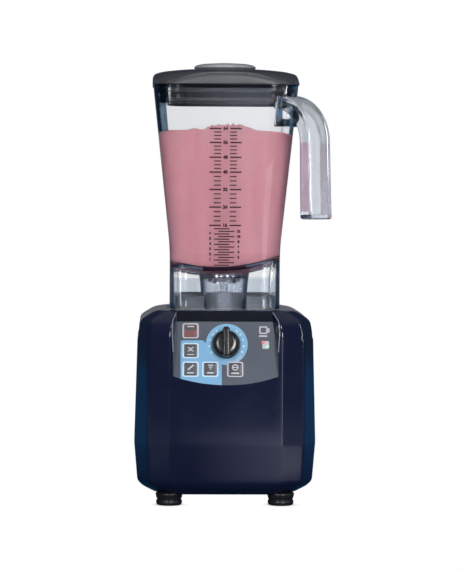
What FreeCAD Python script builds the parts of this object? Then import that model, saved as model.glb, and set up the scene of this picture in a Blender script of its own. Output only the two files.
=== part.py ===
"""Bar mixer for milkshakes: a motor base with a lift-off clear jar, a lid with a filler cap, and a recessed control panel.

Row frame, millimetres: +Z up, the drive axis is the Z axis, Z = 0 is the plane that the four feet stand on,
-Y is the front (the control panel), +X is the right-hand side seen from the front. The jar handle points to the
front right corner, at 45 degrees. Every solid is written in its rest place: jar seated, lid closed, cap in.
"""

import FreeCAD, Part
import math
import os

V = FreeCAD.Vector

# ----------------------------------------------------------------------------- driving dimensions
OVERALL_H = 457.0          # feet to top of filler cap
# motor base, plan section: front face, a shallow front facet, a steep corner facet, side face; mirrored all round
XF, XC = 57.5, 80.0        # where front face meets facet, and facet meets corner, from the axis
FACET1, FACET2 = 19.6, 64.7  # plan angles of the two facets from the X axis, degrees
BASE_BOTTOM, DECK = 13.0, 200.0
WALL = 3.5
# (z, side half-width, front half-depth, XF, XC)
BASE_RINGS = [
    (13.0, 73.0, 88.0, 45.0, 61.0),
    (18.0, 84.5, 94.5, 52.0, 71.0),
    (24.0, 90.2, 98.2, 57.0, 78.5),
    (64.0, 93.6, 101.0, 57.5, 80.0),
    (178.0, 90.4, 97.4, 57.5, 80.0),
    (185.0, 89.0, 95.8, 56.0, 77.5),
    (190.0, 86.6, 92.8, 54.0, 75.0),
    (194.5, 81.5, 88.5, 50.5, 70.0),
    (198.2, 74.0, 84.0, 46.0, 63.5),
    (200.0, 67.0, 80.5, 41.0, 57.0),
]
# control panel: a local frame on the visible face, x right, y up the panel, z out of it
TILT = 14.0
PANEL_Z0, PANEL_Y0 = 124.8, -98.6
PANEL_HALF_W = 54.0
ARC_R = 169.0              # lower edge of the panel
PLATE_T, OVERLAY_T = 2.6, 0.5
KNOB_Y = 42.2
KNOB_R = 14.9
KEY = 15.4                 # keycap, square
KEYS = {                   # name: (x, y) on the panel
    "key_stop": (-36.2, 56.5),
    "key_mix": (-36.2, 35.9),
    "key_program_1": (-36.2, 16.6),
    "key_program_2": (-16.1, 16.6),
    "key_pulse": (9.3, 16.6),
}
KEY_TRAVEL = 0.6
# jar: rounded square, (z, half-width, corner radius) outside
JAR_RINGS = [(200.0, 57.0, 20.0), (262.0, 57.0, 20.0), (432.0, 75.0, 30.0)]
JAR_T = 3.5
FLOOR_R, FLOOR_X, FLOOR_Z = 164.0, -8.9, 407.2   # the floor is a shallow trough from front to back, set off to one side so that it slopes
SEAT_Z = 238.0                                 # flat for the blade unit, sunk a little into the floor
FLOOR_T = 4.0
HANDLE_W = 33.8
RIM = 432.0
LID_A, LID_R = 76.0, 30.0
CAP_R, CAP_PLUG_R = 32.4, 26.0
FEET = [(-57.4, -75.0), (57.4, -75.0), (57.4, 75.0), (-57.4, 75.0)]
FOOT_R = 13.4
# drive line
SHAFT_R, BLADE_SHAFT_R = 6.0, 4.0
CLUTCH_TEETH = 8


# ----------------------------------------------------------------------------- helpers
def cyl(r, z0, z1, x=0.0, y=0.0):
    return Part.makeCylinder(r, z1 - z0, V(x, y, z0))


def tube(ro, ri, z0, z1, x=0.0, y=0.0):
    return cyl(ro, z0, z1, x, y).cut(cyl(ri, z0 - 1, z1 + 1, x, y))


def cone(r0, r1, z0, z1, x=0.0, y=0.0):
    return Part.makeCone(r0, r1, z1 - z0, V(x, y, z0))


def box(x0, x1, y0, y1, z0, z1):
    return Part.makeBox(x1 - x0, y1 - y0, z1 - z0, V(x0, y0, z0))


def wire(points):
    return Part.makePolygon([V(*p) for p in points] + [V(*points[0])])


def prism(points, d):
    """A closed outline of 3-D points in one plane, swept along d."""
    return Part.Face(wire(points)).extrude(V(*d))


def rsq_wire(a, r, z, cx=0.0, cy=0.0):
    """Rounded square outline of half-width a and corner radius r at height z."""
    edges = []
    k = r * (1 - math.sqrt(0.5))
    for i in range(4):
        rot = FreeCAD.Rotation(V(0, 0, 1), 90 * i)
        p = [V(-(a - r), -a, 0), V(a - r, -a, 0), V(a - k, -a + k, 0), V(a, -(a - r), 0)]
        p = [rot.multVec(q) + V(cx, cy, z) for q in p]
        edges.append(Part.LineSegment(p[0], p[1]).toShape())
        edges.append(Part.Arc(p[1], p[2], p[3]).toShape())
    return Part.Wire(edges)


def rsq(a, r, z0, z1):
    return Part.Face(rsq_wire(a, r, z0)).extrude(V(0, 0, z1 - z0))


def rsq_loft(rings):
    return Part.makeLoft([rsq_wire(a, r, z) for z, a, r in rings], True, True)


def octa(S, F, xf, xc, z, grow=0.0):
    """The twelve corners of a base section; grow moves every side out by that much."""
    t1, t2 = math.radians(FACET1), math.radians(FACET2)
    y1 = F - (xc - xf) * math.tan(t1)
    y2 = y1 - (S - xc) * math.tan(t2)
    if grow:
        # offset the four lines and meet them again
        def line(p, ang, g):
            n = (math.sin(ang), math.cos(ang))
            return n[0], n[1], n[0] * p[0] + n[1] * p[1] + g

        def meet(a, b):
            d = a[0] * b[1] - a[1] * b[0]
            return (a[2] * b[1] - a[1] * b[2]) / d, (a[0] * b[2] - a[2] * b[0]) / d

        L = [line((0, F), 0, grow), line((xf, F), t1, grow), line((xc, y1), t2, grow), line((S, 0), math.pi / 2, grow)]
        q = [meet(L[0], L[1]), meet(L[1], L[2]), meet(L[2], L[3])]
    else:
        q = [(xf, F), (xc, y1), (S, y2)]
    pts = [(x, -y) for x, y in q] + [(x, y) for x, y in reversed(q)]
    pts += [(-x, y) for x, y in q] + [(-x, -y) for x, y in reversed(q)]
    return [(x, y, z) for x, y in pts]


def base_loft(rings, grow=0.0):
    return Part.makeLoft([wire(octa(S, F, xf, xc, z, grow)) for z, S, F, xf, xc in rings], True, True)


S14, C14 = math.sin(math.radians(TILT)), math.cos(math.radians(TILT))
PANEL = FreeCAD.Placement(V(0, PANEL_Y0, PANEL_Z0), FreeCAD.Rotation(V(1, 0, 0), 90 - TILT))


def on_panel(shape):
    s = shape.copy()
    s.Placement = PANEL.multiply(s.Placement)
    return s


def rrect(x, y, w, h, r, z0, z1):
    """Upright rounded rectangle in a local frame."""
    a, b = w / 2.0, h / 2.0
    k = r * (1 - math.sqrt(0.5))
    c = []
    e = []
    pts = [
        (V(-a + r, -b, 0), V(a - r, -b, 0), V(a - k, -b + k, 0)),
        (V(a, -b + r, 0), V(a, b - r, 0), V(a - k, b - k, 0)),
        (V(a - r, b, 0), V(-a + r, b, 0), V(-a + k, b - k, 0)),
        (V(-a, b - r, 0), V(-a, -b + r, 0), V(-a + k, -b + k, 0)),
    ]
    o = V(x, y, z0)
    for i in range(4):
        p, q, m = pts[i]
        n = pts[(i + 1) % 4][0]
        e.append(Part.LineSegment(o + p, o + q).toShape())
        e.append(Part.Arc(o + q, o + m, o + n).toShape())
    return Part.Face(Part.Wire(e)).extrude(V(0, 0, z1 - z0))


def arc_outline(half_w, y_top, z0, z1, down=0.0):
    """The panel's outline: straight top and sides, and a lower edge bowed down in the middle; down moves that edge lower."""
    sag = ARC_R - math.sqrt(ARC_R**2 - half_w**2)
    e = [
        Part.LineSegment(V(half_w, sag - down, z0), V(half_w, y_top, z0)).toShape(),
        Part.LineSegment(V(half_w, y_top, z0), V(-half_w, y_top, z0)).toShape(),
        Part.LineSegment(V(-half_w, y_top, z0), V(-half_w, sag - down, z0)).toShape(),
        Part.Arc(V(-half_w, sag - down, z0), V(0, -down, z0), V(half_w, sag - down, z0)).toShape(),
    ]
    return Part.Face(Part.Wire(e)).extrude(V(0, 0, z1 - z0))


def group(shapes):
    return Part.makeCompound(shapes)


def fuse(shapes):
    s = shapes[0]
    for o in shapes[1:]:
        s = s.fuse(o)
    return s.removeSplitter()


def star(n, r_root, r_tip, z0, z1, grow=0.0):
    """A coupling outline of n square teeth; grow widens it on every side."""
    pts = []
    for i in range(n):
        a = 2 * math.pi * i / n
        half = math.pi / n * 0.5
        gr = grow / r_tip
        gb = grow / r_root
        for r, d in ((r_root + grow, -half - gb), (r_tip + grow, -half * 0.78 - gr), (r_tip + grow, half * 0.78 + gr), (r_root + grow, half + gb)):
            pts.append((r * math.cos(a + d), r * math.sin(a + d), z0))
    return prism(pts, (0, 0, z1 - z0))


parts = {}

# ----------------------------------------------------------------------------- motor base: housing
outer = base_loft(BASE_RINGS)
PLANE_BACK = -(PLATE_T + OVERLAY_T)      # the housing's sloping wall starts behind plate and overlay
Y_TOP = (DECK - PANEL_Z0) / C14
# the recess: a pocket for the plate, and above it side walls that lean in over the plate towards the top
RECESS_LOW, RECESS_HIGH = (54.0, 55.0), (47.5, 57.5)   # half-width at the overlay and 16 mm in front of it, low and high


def flare(extra, z0, z1, y0, y1):
    def section(y):
        f = y / 78.0
        w0 = RECESS_LOW[0] + (RECESS_HIGH[0] - RECESS_LOW[0]) * f + extra
        w1 = RECESS_LOW[1] + (RECESS_HIGH[1] - RECESS_LOW[1]) * f + extra
        a = w0 + (w1 - w0) * z0 / 16.0
        b = w0 + (w1 - w0) * z1 / 16.0
        return wire([(a, y, z0), (b, y, z1), (-b, y, z1), (-a, y, z0)])
    return Part.makeLoft([section(y0), section(y1)], True, True)


rec = arc_outline(PANEL_HALF_W, 110.0, PLANE_BACK, 0.0)
front = arc_outline(62.0, 110.0, -0.01, 60.0).common(flare(0.0, -0.01, 34.0, -3.0, 108.0))
recess = on_panel(rec.fuse(front))
behind = on_panel(arc_outline(PANEL_HALF_W + WALL, 110.0, PLANE_BACK - WALL, 60.0, WALL).fuse(flare(WALL, -3.0, 34.0, -4.0, 108.0)))
inner_rings = [r for r in BASE_RINGS]
inner = base_loft([(r[0],) + r[1:] for r in inner_rings], -WALL)
inner = inner.common(box(-200, 200, -200, 200, BASE_BOTTOM - 5, DECK - WALL - 3.0))
# the section at the bottom is opened straight down so the bottom plate can go in
mouth = Part.Face(wire(octa(*([BASE_RINGS[0][1], BASE_RINGS[0][2], BASE_RINGS[0][3], BASE_RINGS[0][4], 12.0]), grow=-WALL))).extrude(V(0, 0, 8.0))
cavity = inner.fuse(mouth).cut(behind)
housing = outer.cut(recess).cut(cavity)
REAR = 96.0
inside_of = outer.cut(recess)
# thicker wall behind the two rear pockets, rails for the power board
for b in (box(15.0, 79.0, 92.5, 99.0, 25.0, 67.0), box(-63.0, -25.0, 92.5, 99.0, 29.0, 63.0)):
    housing = housing.fuse(b.common(inside_of))
for y in (-31.0, 31.0):
    housing = housing.fuse(box(-94.0, -72.0, y - 2.0, y + 2.0, 74.0, 152.0).common(inside_of))
# deck: a shallow seat for the jar pad, and the hole for the drive
housing = housing.cut(rsq(61.0, 23.0, DECK - 3.0, DECK + 5))
housing = housing.cut(cyl(16.0, DECK - 12, DECK + 5))
# window behind the panel plate for keys, dial and lights
window = on_panel(rrect(0, 37.0, 94.0, 62.0, 4.0, PLANE_BACK - WALL - 6, PLANE_BACK + 0.05))
housing = housing.cut(window)
# rear pockets: power inlet and overload reset
housing = housing.cut(box(20.0, 74.0, REAR, 120, 30.0, 62.0)).cut(box(34.5, 61.5, 80, 120, 35.8, 56.2))
housing = housing.cut(box(-58.0, -30.0, REAR, 120, 34.0, 58.0)).cut(
    Part.makeCylinder(6.05, 30, V(-44, 80, 46), V(0, 1, 0)))
# rear louvres
for k in range(7):
    z = 84 + k * 11
    housing = housing.cut(box(-42, 42, 85, 120, z, z + 4.5))
# bosses inside the deck for the motor, and in the corners for the bottom screws
MOTOR_BOLTS = [(38.0, 38.0), (-38.0, 38.0), (-38.0, -38.0), (38.0, -38.0)]
for x, y in MOTOR_BOLTS:
    housing = housing.fuse(cyl(6.0, 186.0, DECK - WALL - 2.5, x, y))
CORNER = [(-60.0, -46.0), (60.0, -46.0), (60.0, 46.0), (-60.0, 46.0)]
for x, y in CORNER:
    rib = box(min(x, math.copysign(93.5, x)), max(x, math.copysign(93.5, x)), y - 1.5, y + 1.5, 28.0, 60.0)
    housing = housing.fuse(cyl(5.0, 16.0, 60.0, x, y)).fuse(rib.common(inside_of))
for x, y in MOTOR_BOLTS:
    housing = housing.cut(cyl(2.0, 180.0, 195.0, x, y))
for x, y in CORNER:
    housing = housing.cut(cyl(1.8, 10.0, 40.0, x, y))
parts["base_housing"] = housing.removeSplitter()

# bottom plate with air slots, inside the mouth of the housing
plate = Part.Face(wire(octa(BASE_RINGS[0][1], BASE_RINGS[0][2], BASE_RINGS[0][3], BASE_RINGS[0][4], BASE_BOTTOM, grow=-WALL - 0.15))).extrude(V(0, 0, 3.0))
for k in range(-4, 5):
    a = k * 8.0
    w = math.sqrt(max(40.0**2 - a * a, 0))
    plate = plate.cut(box(a - 2, a + 2, -w, w, 10, 20))
for x, y in CORNER:
    plate = plate.cut(cyl(1.9, 10, 20, x, y))
for x, y in FEET:
    plate = plate.cut(cyl(2.2, 10, 20, x, y))
parts["bottom_plate"] = plate
FEET_XY = FEET

# feet: a collar, a waist and a rounded pad, screwed to the bottom plate
def foot(x, y):
    pts = [(0, 0.0), (10.6, 0.0), (12.6, 1.4), (FOOT_R, 4.0), (FOOT_R - 0.5, 9.4), (FOOT_R + 0.4, 11.2), (FOOT_R + 0.4, 12.0), (FOOT_R - 1.4, BASE_BOTTOM), (0, BASE_BOTTOM)]
    f = Part.Face(wire([(p[0], 0, p[1]) for p in pts])).revolve(V(0, 0, 0), V(0, 0, 1), 360)
    f = f.cut(cyl(5.0, -1, 6.0)).cut(cyl(2.2, 5, 20))
    f.translate(V(x, y, 0))
    return f


parts["rubber_feet"] = group([foot(x, y) for x, y in FEET_XY])


def screw(x, y, z_head, z_tip, r_head, r, h_head, up=True):
    if up:  # head below, shank up
        return cyl(r_head, z_head, z_head + h_head, x, y).fuse(cyl(r, z_head + h_head, z_tip, x, y))
    return cyl(r_head, z_head - h_head, z_head, x, y).fuse(cyl(r, z_tip, z_head - h_head, x, y))


parts["foot_screws"] = group([screw(x, y, 3.4, 18.4, 4.2, 2.0, 2.6).fuse(tube(3.6, 2.0, 16.0, 18.4, x, y)).removeSplitter() for x, y in FEET_XY])

HOUSING_SCREWS = [screw(x, y, 10.9, 30.0, 3.6, 1.75, 2.1) for x, y in CORNER]

# ----------------------------------------------------------------------------- jar pad and drive on the deck
pad = rsq(60.85, 22.85, DECK - 3.0, DECK).fuse(rsq(52.3, 15.5, DECK, 214.0).cut(cyl(28.5, DECK, 220)))
for sx in (-1, 1):
    pad = pad.cut(box(-22, 22, min(sx * 15, sx * 60), max(sx * 15, sx * 60), DECK, 220))
    pad = pad.cut(box(min(sx * 15, sx * 60), max(sx * 15, sx * 60), -22, 22, DECK, 220))
pad = pad.cut(cyl(23.0, DECK - 5, DECK + 1))
parts["jar_pad"] = pad.removeSplitter()

# slinger: keeps spills off the top bearing
parts["shaft_slinger"] = tube(21.0, SHAFT_R, 198.4, 200.0).fuse(tube(9.0, SHAFT_R, 200.0, 200.5)).removeSplitter()
parts["drive_clutch"] = star(CLUTCH_TEETH, 10.4, 14.0, 204.0, 212.0).fuse(cyl(14.0, 200.5, 204.0)).cut(cyl(SHAFT_R, 200.0, 208.0)).cut(cyl(1.8, 207, 213)).cut(cyl(3.6, 210.2, 213)).removeSplitter()

# ----------------------------------------------------------------------------- motor
MB = 6.0
parts["motor_shaft"] = cyl(SHAFT_R, 38.0, 208.0).cut(cyl(1.6, 196, 209))
parts["clutch_screw"] = cyl(1.6, 197.0, 210.2).fuse(cyl(3.4, 210.2, 212.0)).removeSplitter()
parts["armature_core"] = fuse([cyl(27.0, 100.0, 154.0)] ).cut(cyl(SHAFT_R, 90, 160))
slots = [box(25.2, 28, -1.2, 1.2, 99, 155)]
core = parts["armature_core"]
for i in range(12):
    s = slots[0].copy()
    s.rotate(V(0, 0, 0), V(0, 0, 1), 30 * i)
    core = core.cut(s)
parts["armature_core"] = core
parts["armature_windings"] = group([
    tube(23.0, SHAFT_R, 94.0, 100.0), tube(23.5, SHAFT_R, 154.0, 163.0)])
comm = tube(14.0, SHAFT_R, 74.0, 92.0)
for i in range(24):
    s = box(13.2, 15, -0.25, 0.25, 73, 93)
    s.rotate(V(0, 0, 0), V(0, 0, 1), 15 * i)
    comm = comm.cut(s)
parts["commutator"] = comm
# field: a stack with two flats, two coils
stator = cyl(48.0, 100.0, 154.0).common(box(-48, 48, -42, 42, 90, 160)).cut(cyl(27.8, 90, 160))
for sx in (-1, 1):
    stator = stator.cut(box(-20, 20, min(sx * 29, sx * 37), max(sx * 29, sx * 37), 90, 160).cut(box(-9, 9, -40, 40, 80, 170)))
for x in (-40.0, 40.0):
    stator = stator.cut(cyl(2.2, 90, 160, x, 0))
parts["stator_core"] = stator.removeSplitter()


def coil(sign):
    ys = sorted((sign * 29.4, sign * 36.6))
    a = box(-19.6, 19.6, ys[0], ys[1], 92.0, 162.0).cut(box(-9.2, 9.2, -60, 60, 100.0, 154.0))
    return a.cut(cyl(28.0, 90, 170))


parts["field_coils"] = group([coil(1), coil(-1)])
# end brackets
top = cyl(19.0, 168.0, 180.0)
for x, y in MOTOR_BOLTS:
    a = math.degrees(math.atan2(y, x))
    arm = box(0, math.hypot(x, y), -7, 7, 172.0, 178.0)
    arm.rotate(V(0, 0, 0), V(0, 0, 1), a)
    top = top.fuse(arm).fuse(cyl(9.0, 172.0, 178.0, x, y))
top = top.fuse(box(-46, 46, -7, 7, 168.0, 174.0))
for x in (-40.0, 40.0):
    top = top.fuse(cyl(6.0, 154.0, 174.0, x, 0)).cut(cyl(2.1, 150, 180, x, 0))
for x, y in MOTOR_BOLTS:
    top = top.cut(cyl(4.0, 160, 190, x, y))
top = top.cut(cyl(13.0, 171.0, 185.0)).cut(cyl(8.0, 160, 172))
parts["motor_top_bracket"] = top.removeSplitter()
low = cyl(17.0, 60.0, 70.0).fuse(box(-46, 46, -8, 8, 60.0, 66.0))
for x in (-40.0, 40.0):
    low = low.fuse(cyl(6.0, 60.0, 100.0, x, 0)).cut(cyl(2.1, 50, 110, x, 0))
low = low.cut(cyl(11.0, 62.0, 80.0)).cut(cyl(8.0, 50, 64))
parts["motor_bottom_bracket"] = low.removeSplitter()
parts["motor_bearings"] = group([tube(13.0, SHAFT_R + 0.05, 171.0, 180.0), tube(11.0, SHAFT_R + 0.05, 62.0, 70.0)])
MOTOR_FASTENERS = [screw(x, 0, 57.0, 174.0, 4.2, 2.0, 3.0).fuse(tube(3.8, 2.0, 174.0, 177.0, x, 0)).removeSplitter() for x in (-40.0, 40.0)]
parts["rubber_isolators"] = group([
    tube(9.0, 3.9, 178.0, 186.0, x, y).cut(cyl(2.05, 170, 190, x, y)).fuse(tube(3.9, 2.05, 172.0, 186.0, x, y)).removeSplitter() for x, y in MOTOR_BOLTS])
parts["motor_screws"] = group(MOTOR_FASTENERS + [screw(x, y, 169.0, 194.0, 4.6, 1.95, 3.0) for x, y in MOTOR_BOLTS])


def brush(sign):
    xs = sorted((sign * 14.15, sign * 24.0))
    return box(xs[0], xs[1], -3.0, 3.0, 80.0, 87.0)


def brush_holder(sign):
    xs = sorted((sign * 17.0, sign * 33.8))
    b = box(xs[0], xs[1], -5.0, 5.0, 78.0, 89.0)
    xi = sorted((sign * 16.0, sign * 31.5))
    b = b.cut(box(xi[0], xi[1], -3.05, 3.05, 79.95, 87.05))
    ft = sorted((sign * 20.0, sign * 30.0))
    return b.fuse(box(ft[0], ft[1], -5.0, 5.0, 66.0, 78.0)).removeSplitter()


parts["carbon_brushes"] = group([brush(1), brush(-1)])
parts["brush_holders"] = group([brush_holder(1), brush_holder(-1)])
# fan: hub, back disc and curved blades, on the lower end of the shaft
fan = cyl(10.0, 40.0, 56.0).fuse(cyl(40.0, 40.0, 42.0))
for i in range(11):
    b = box(9.0, 40.0, -0.9, 0.9, 41.0, 54.0)
    b.rotate(V(9, 0, 0), V(0, 0, 1), 22)
    b.rotate(V(0, 0, 0), V(0, 0, 1), 360.0 / 11 * i)
    fan = fan.fuse(b)
fan = fan.common(cyl(40.0, 30, 60)).cut(cyl(SHAFT_R, 30, 60))
parts["cooling_fan"] = fan.removeSplitter()
parts["fan_shroud"] = tube(46.0, 43.5, 16.0, 56.0).fuse(tube(54.0, 46.0, 16.0, 18.5)).removeSplitter()

# ----------------------------------------------------------------------------- electronics
pcb = on_panel(rrect(0, 37.0, 90.0, 58.0, 2.0, -14.0, -12.4))
parts["control_board"] = pcb
switches = []
for n, (x, y) in KEYS.items():
    switches.append(on_panel(rrect(x, y, 6.0, 6.0, 0.6, -12.4, -8.4).fuse(cyl(1.7, -8.4, -7.5, x, y))))
parts["tact_switches"] = group(switches)
parts["dial_encoder"] = on_panel(rrect(0, KNOB_Y, 14.0, 14.0, 1.0, -12.4, -6.0).cut(cyl(3.05, -13, 0, 0, KNOB_Y)))
parts["power_board"] = box(-72.0, -70.4, -34.0, 34.0, 76.0, 150.0)
parts["board_components"] = group([
    Part.makeCylinder(9.0, 12, V(-70.4, -20, 100), V(1, 0, 0)),
    Part.makeCylinder(9.0, 12, V(-70.4, -20, 124), V(1, 0, 0)),
    box(-70.4, -58.0, 2.0, 26.0, 86.0, 108.0),
    box(-70.4, -64.0, 4.0, 24.0, 116.0, 142.0),
])
parts["jar_sensor"] = box(-56.0, -44.0, 10.0, 18.0, 188.0, DECK - WALL - 3.0)

# power inlet: flange on the rear pocket, socket body through the wall, three blades inside
inlet = box(24.0, 72.0, REAR, REAR + 2.6, 34.0, 58.0).fuse(box(34.7, 61.3, 80.0, REAR, 36.0, 56.0))
inlet = inlet.cut(box(36.0, 60.0, 82.0, REAR + 10, 38.0, 54.0))
for x in (28.0, 68.0):
    inlet = inlet.cut(Part.makeCylinder(1.7, 10, V(x, REAR - 2, 46), V(0, 1, 0)))
parts["power_inlet"] = inlet.removeSplitter()
parts["inlet_contacts"] = group([box(x - 1.0, x + 1.0, 82.0, 94.0, z - 2.0, z + 2.0) for x, z in ((41.0, 44.0), (55.0, 44.0), (48.0, 49.0))])
parts["housing_screws"] = group(HOUSING_SCREWS + [
    Part.makeCylinder(3.2, 1.8, V(x, REAR + 2.6, 46), V(0, 1, 0)).fuse(Part.makeCylinder(1.6, 2.6, V(x, REAR, 46), V(0, 1, 0))).removeSplitter()
    for x in (28.0, 68.0)])
# overload reset: a body inside the wall, a collar outside, and a push button
Y = V(0, 1, 0)
rb = Part.makeCylinder(6.0, 14, V(-44, 84, 46), Y).fuse(Part.makeCylinder(9.0, 2.0, V(-44, REAR, 46), Y))
rb = rb.fuse(box(-54.0, -34.0, 70.0, 84.0, 38.0, 54.0)).cut(Part.makeCylinder(4.05, 30, V(-44, 86, 46), Y))
parts["reset_breaker"] = rb.removeSplitter()
parts["reset_button"] = Part.makeCylinder(4.0, 12.0, V(-44, 90, 46), Y)

# ----------------------------------------------------------------------------- control panel
plate_half = PANEL_HALF_W - 0.2
cp = arc_outline(plate_half, Y_TOP + 4.0, -(PLATE_T + OVERLAY_T), -OVERLAY_T, -0.2)
band = arc_outline(plate_half, Y_TOP + 4.0, -OVERLAY_T, 0.0, -0.2).cut(box(-90, 90, -20, 66.3, -10, 10))
cp = cp.fuse(band)
cp = cp.cut(cyl(4.3, -10, 5, 0, KNOB_Y))
for n, (x, y) in KEYS.items():
    cp = cp.cut(rrect(x, y, KEY + 0.5, KEY + 0.5, 2.2, -10, 5))
LED = [(37.9, 44.7), (42.0, 40.2)]
for x, y in LED:
    cp = cp.cut(cyl(1.8, -10, 5, x, y))
for x, y in ((-22.0, 30.5), (-20.0, 60.0), (41.0, 60.0), (41.0, 13.0)):
    cp = cp.fuse(cyl(2.5, -12.4, -PLATE_T - OVERLAY_T, x, y))
cp = on_panel(cp).common(box(-90, 90, -130, 0, 100, DECK - 1.2))
parts["control_panel"] = cp.removeSplitter()
ov = arc_outline(plate_half, 66.1, -OVERLAY_T, 0.0, -0.2).cut(cyl(4.3, -10, 5, 0, KNOB_Y))
for n, (x, y) in KEYS.items():
    ov = ov.cut(rrect(x, y, KEY + 0.5, KEY + 0.5, 2.2, -10, 5))
for x, y in LED:
    ov = ov.cut(cyl(1.8, -10, 5, x, y))
parts["control_overlay"] = on_panel(ov)
parts["status_lights"] = group([on_panel(cyl(1.6, -12.4, 0.3, x, y)) for x, y in LED])
for n, (x, y) in KEYS.items():
    k = rrect(x, y, KEY, KEY, 2.0, -3.2, 0.8).fuse(rrect(x, y, KEY + 2.4, KEY + 2.4, 1.5, -4.8, -3.2)).fuse(cyl(1.5, -6.8, -4.8, x, y))
    parts[n] = on_panel(k.removeSplitter())
# dial: skirted disc with a pointer bar across its upper half
kn = cone(KNOB_R, KNOB_R - 1.2, 1.0, 7.0, 0, KNOB_Y).fuse(cone(KNOB_R - 1.2, KNOB_R - 5.5, 7.0, 12.0, 0, KNOB_Y))
bar = rrect(0, KNOB_Y + 0.9, 8.8, 30.8, 2.5, 1.0, 16.5)
kn = kn.fuse(bar).cut(cyl(3.0, 0, 12.0, 0, KNOB_Y))
parts["dial_knob"] = on_panel(kn.removeSplitter())
parts["dial_shaft"] = on_panel(cyl(3.0, -12.3, 12.0, 0, KNOB_Y))

# ----------------------------------------------------------------------------- jar with its handle
def trough(r):
    return Part.makeCylinder(r, 240.0, V(FLOOR_X, -120.0, FLOOR_Z), V(0, 1, 0))


def inset(rings, t):
    return [(z, a - t, r - t) for z, a, r in rings]


def ring_at(z):
    for (z0, a0, r0), (z1, a1, r1) in zip(JAR_RINGS, JAR_RINGS[1:]):
        if z <= z1:
            f = (z - z0) / (z1 - z0)
            return a0 + f * (a1 - a0), r0 + f * (r1 - r0)
    return JAR_RINGS[-1][1:]


jar_out = rsq_loft(JAR_RINGS)
slope = (75.0 - 57.0) / (432.0 - 262.0)
in_rings = inset([(220.0, 57.0, 20.0), (262.0, 57.0, 20.0), (440.0, 75.0 + 8 * slope, 30.0 + 8 * 10 / 170.0)], JAR_T)
cav = rsq_loft(in_rings).common(trough(FLOOR_R))
# two upright baffles on the front wall and two on the back wall lean with the wall
lean = math.degrees(math.atan(slope))
for sy in (-1, 1):
    for x in (-33.0, 33.0):
        b = Part.makeCylinder(7.0, 190.0, V(0, 0, 0), V(0, 0, 1))
        b.rotate(V(0, 0, 0), V(1, 0, 0), lean * (1 if sy < 0 else -1))
        y0 = sy * (57.0 - JAR_T + 4.6)
        b.translate(V(x, y0 - sy * 30 * slope, 232.0))
        cav = cav.cut(b.common(box(-80, 80, -100, 100, 225, 382)))
cav = cav.fuse(cyl(22.0, SEAT_Z, 246.0))
under = rsq_loft(inset([(190.0, 57.0, 20.0), (262.0, 57.0, 20.0)], JAR_T)).cut(trough(FLOOR_R + FLOOR_T))
boss = cone(23.6, 26.4, 204.0, 243.0).cut(cone(20.9, 22.4, 203.9, 243.1)).fuse(cyl(23.5, SEAT_Z - 4.3, SEAT_Z)).cut(trough(FLOOR_R + 1.0)).cut(cyl(22.0, SEAT_Z, 250.0))
# handle, drawn in the radial plane (u outwards, z up) and swept across its width
def radial(points_edges, w):
    f = Part.Face(Part.Wire(points_edges))
    s = f.extrude(V(0, w, 0))
    s.translate(V(0, -w / 2.0, 0))
    s.rotate(V(0, 0, 0), V(0, 0, 1), -45)
    return s


def seg(a, b):
    return Part.LineSegment(V(a[0], 0, a[1]), V(b[0], 0, b[1])).toShape()


def arc3(a, m, b):
    return Part.Arc(V(a[0], 0, a[1]), V(m[0], 0, m[1]), V(b[0], 0, b[1])).toShape()


ARC_U, ARC_Z, R_OUT, R_IN = 85.4, 372.4, 48.6, 34.9    # centre and radii of the bend
U_OUT_BOT, U_IN_BOT, HZ_BOT = 137.0, 121.6, 296.0
HZ_TOP = ARC_Z + R_OUT
m = math.sqrt(0.5)


def handle_outline():
    return [
        seg((78, HZ_TOP), (ARC_U, HZ_TOP)),
        arc3((ARC_U, HZ_TOP), (ARC_U + R_OUT * m, ARC_Z + R_OUT * m), (ARC_U + R_OUT, ARC_Z)),
        seg((ARC_U + R_OUT, ARC_Z), (U_OUT_BOT, HZ_BOT)),
        seg((U_OUT_BOT, HZ_BOT), (U_IN_BOT, HZ_BOT)),
        seg((U_IN_BOT, HZ_BOT), (ARC_U + R_IN, ARC_Z)),
        arc3((ARC_U + R_IN, ARC_Z), (ARC_U + R_IN * m, ARC_Z + R_IN * m), (ARC_U, ARC_Z + R_IN)),
        seg((ARC_U, ARC_Z + R_IN), (78, ARC_Z + R_IN)),
        seg((78, ARC_Z + R_IN), (78, HZ_TOP)),
    ]


grip = radial(handle_outline(), HANDLE_W)
# channel open on the palm side
RC = R_OUT - 3.6
ch = radial([
    seg((90, 398.0), (90, ARC_Z + math.sqrt(RC**2 - (90 - ARC_U)**2))),
    arc3((90, ARC_Z + math.sqrt(RC**2 - (90 - ARC_U)**2)), (ARC_U + RC * m, ARC_Z + RC * m), (ARC_U + RC, ARC_Z)),
    seg((ARC_U + RC, ARC_Z), (U_OUT_BOT - 3.7, HZ_BOT + 3.5)),
    seg((U_OUT_BOT - 3.7, HZ_BOT + 3.5), (112.0, HZ_BOT + 3.5)),
    seg((112.0, HZ_BOT + 3.5), (112.0, 376.0)),
    seg((112.0, 376.0), (90, 398.0)),
], HANDLE_W - 7.0)
bracket_out = radial([seg((66, 387), (95, 389)), seg((95, 389), (95, 412)), seg((95, 412), (88, HZ_TOP)), seg((88, HZ_TOP), (66, HZ_TOP)), seg((66, HZ_TOP), (66, 387))], HANDLE_W)
bracket_in = radial([seg((56, 380), (86.6, 380)), seg((86.6, 380), (86.6, 413)), seg((86.6, 413), (56, 413)), seg((56, 413), (56, 380))], HANDLE_W - 7.0)
handle = grip.cut(ch).fuse(bracket_out.cut(bracket_in))
outside = handle.cut(jar_out)
keep = [s for s in outside.Solids if s.BoundBox.XMax > 60 and s.Volume > 500]
jar = jar_out.fuse(fuse(keep) if len(keep) > 1 else keep[0])
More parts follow.
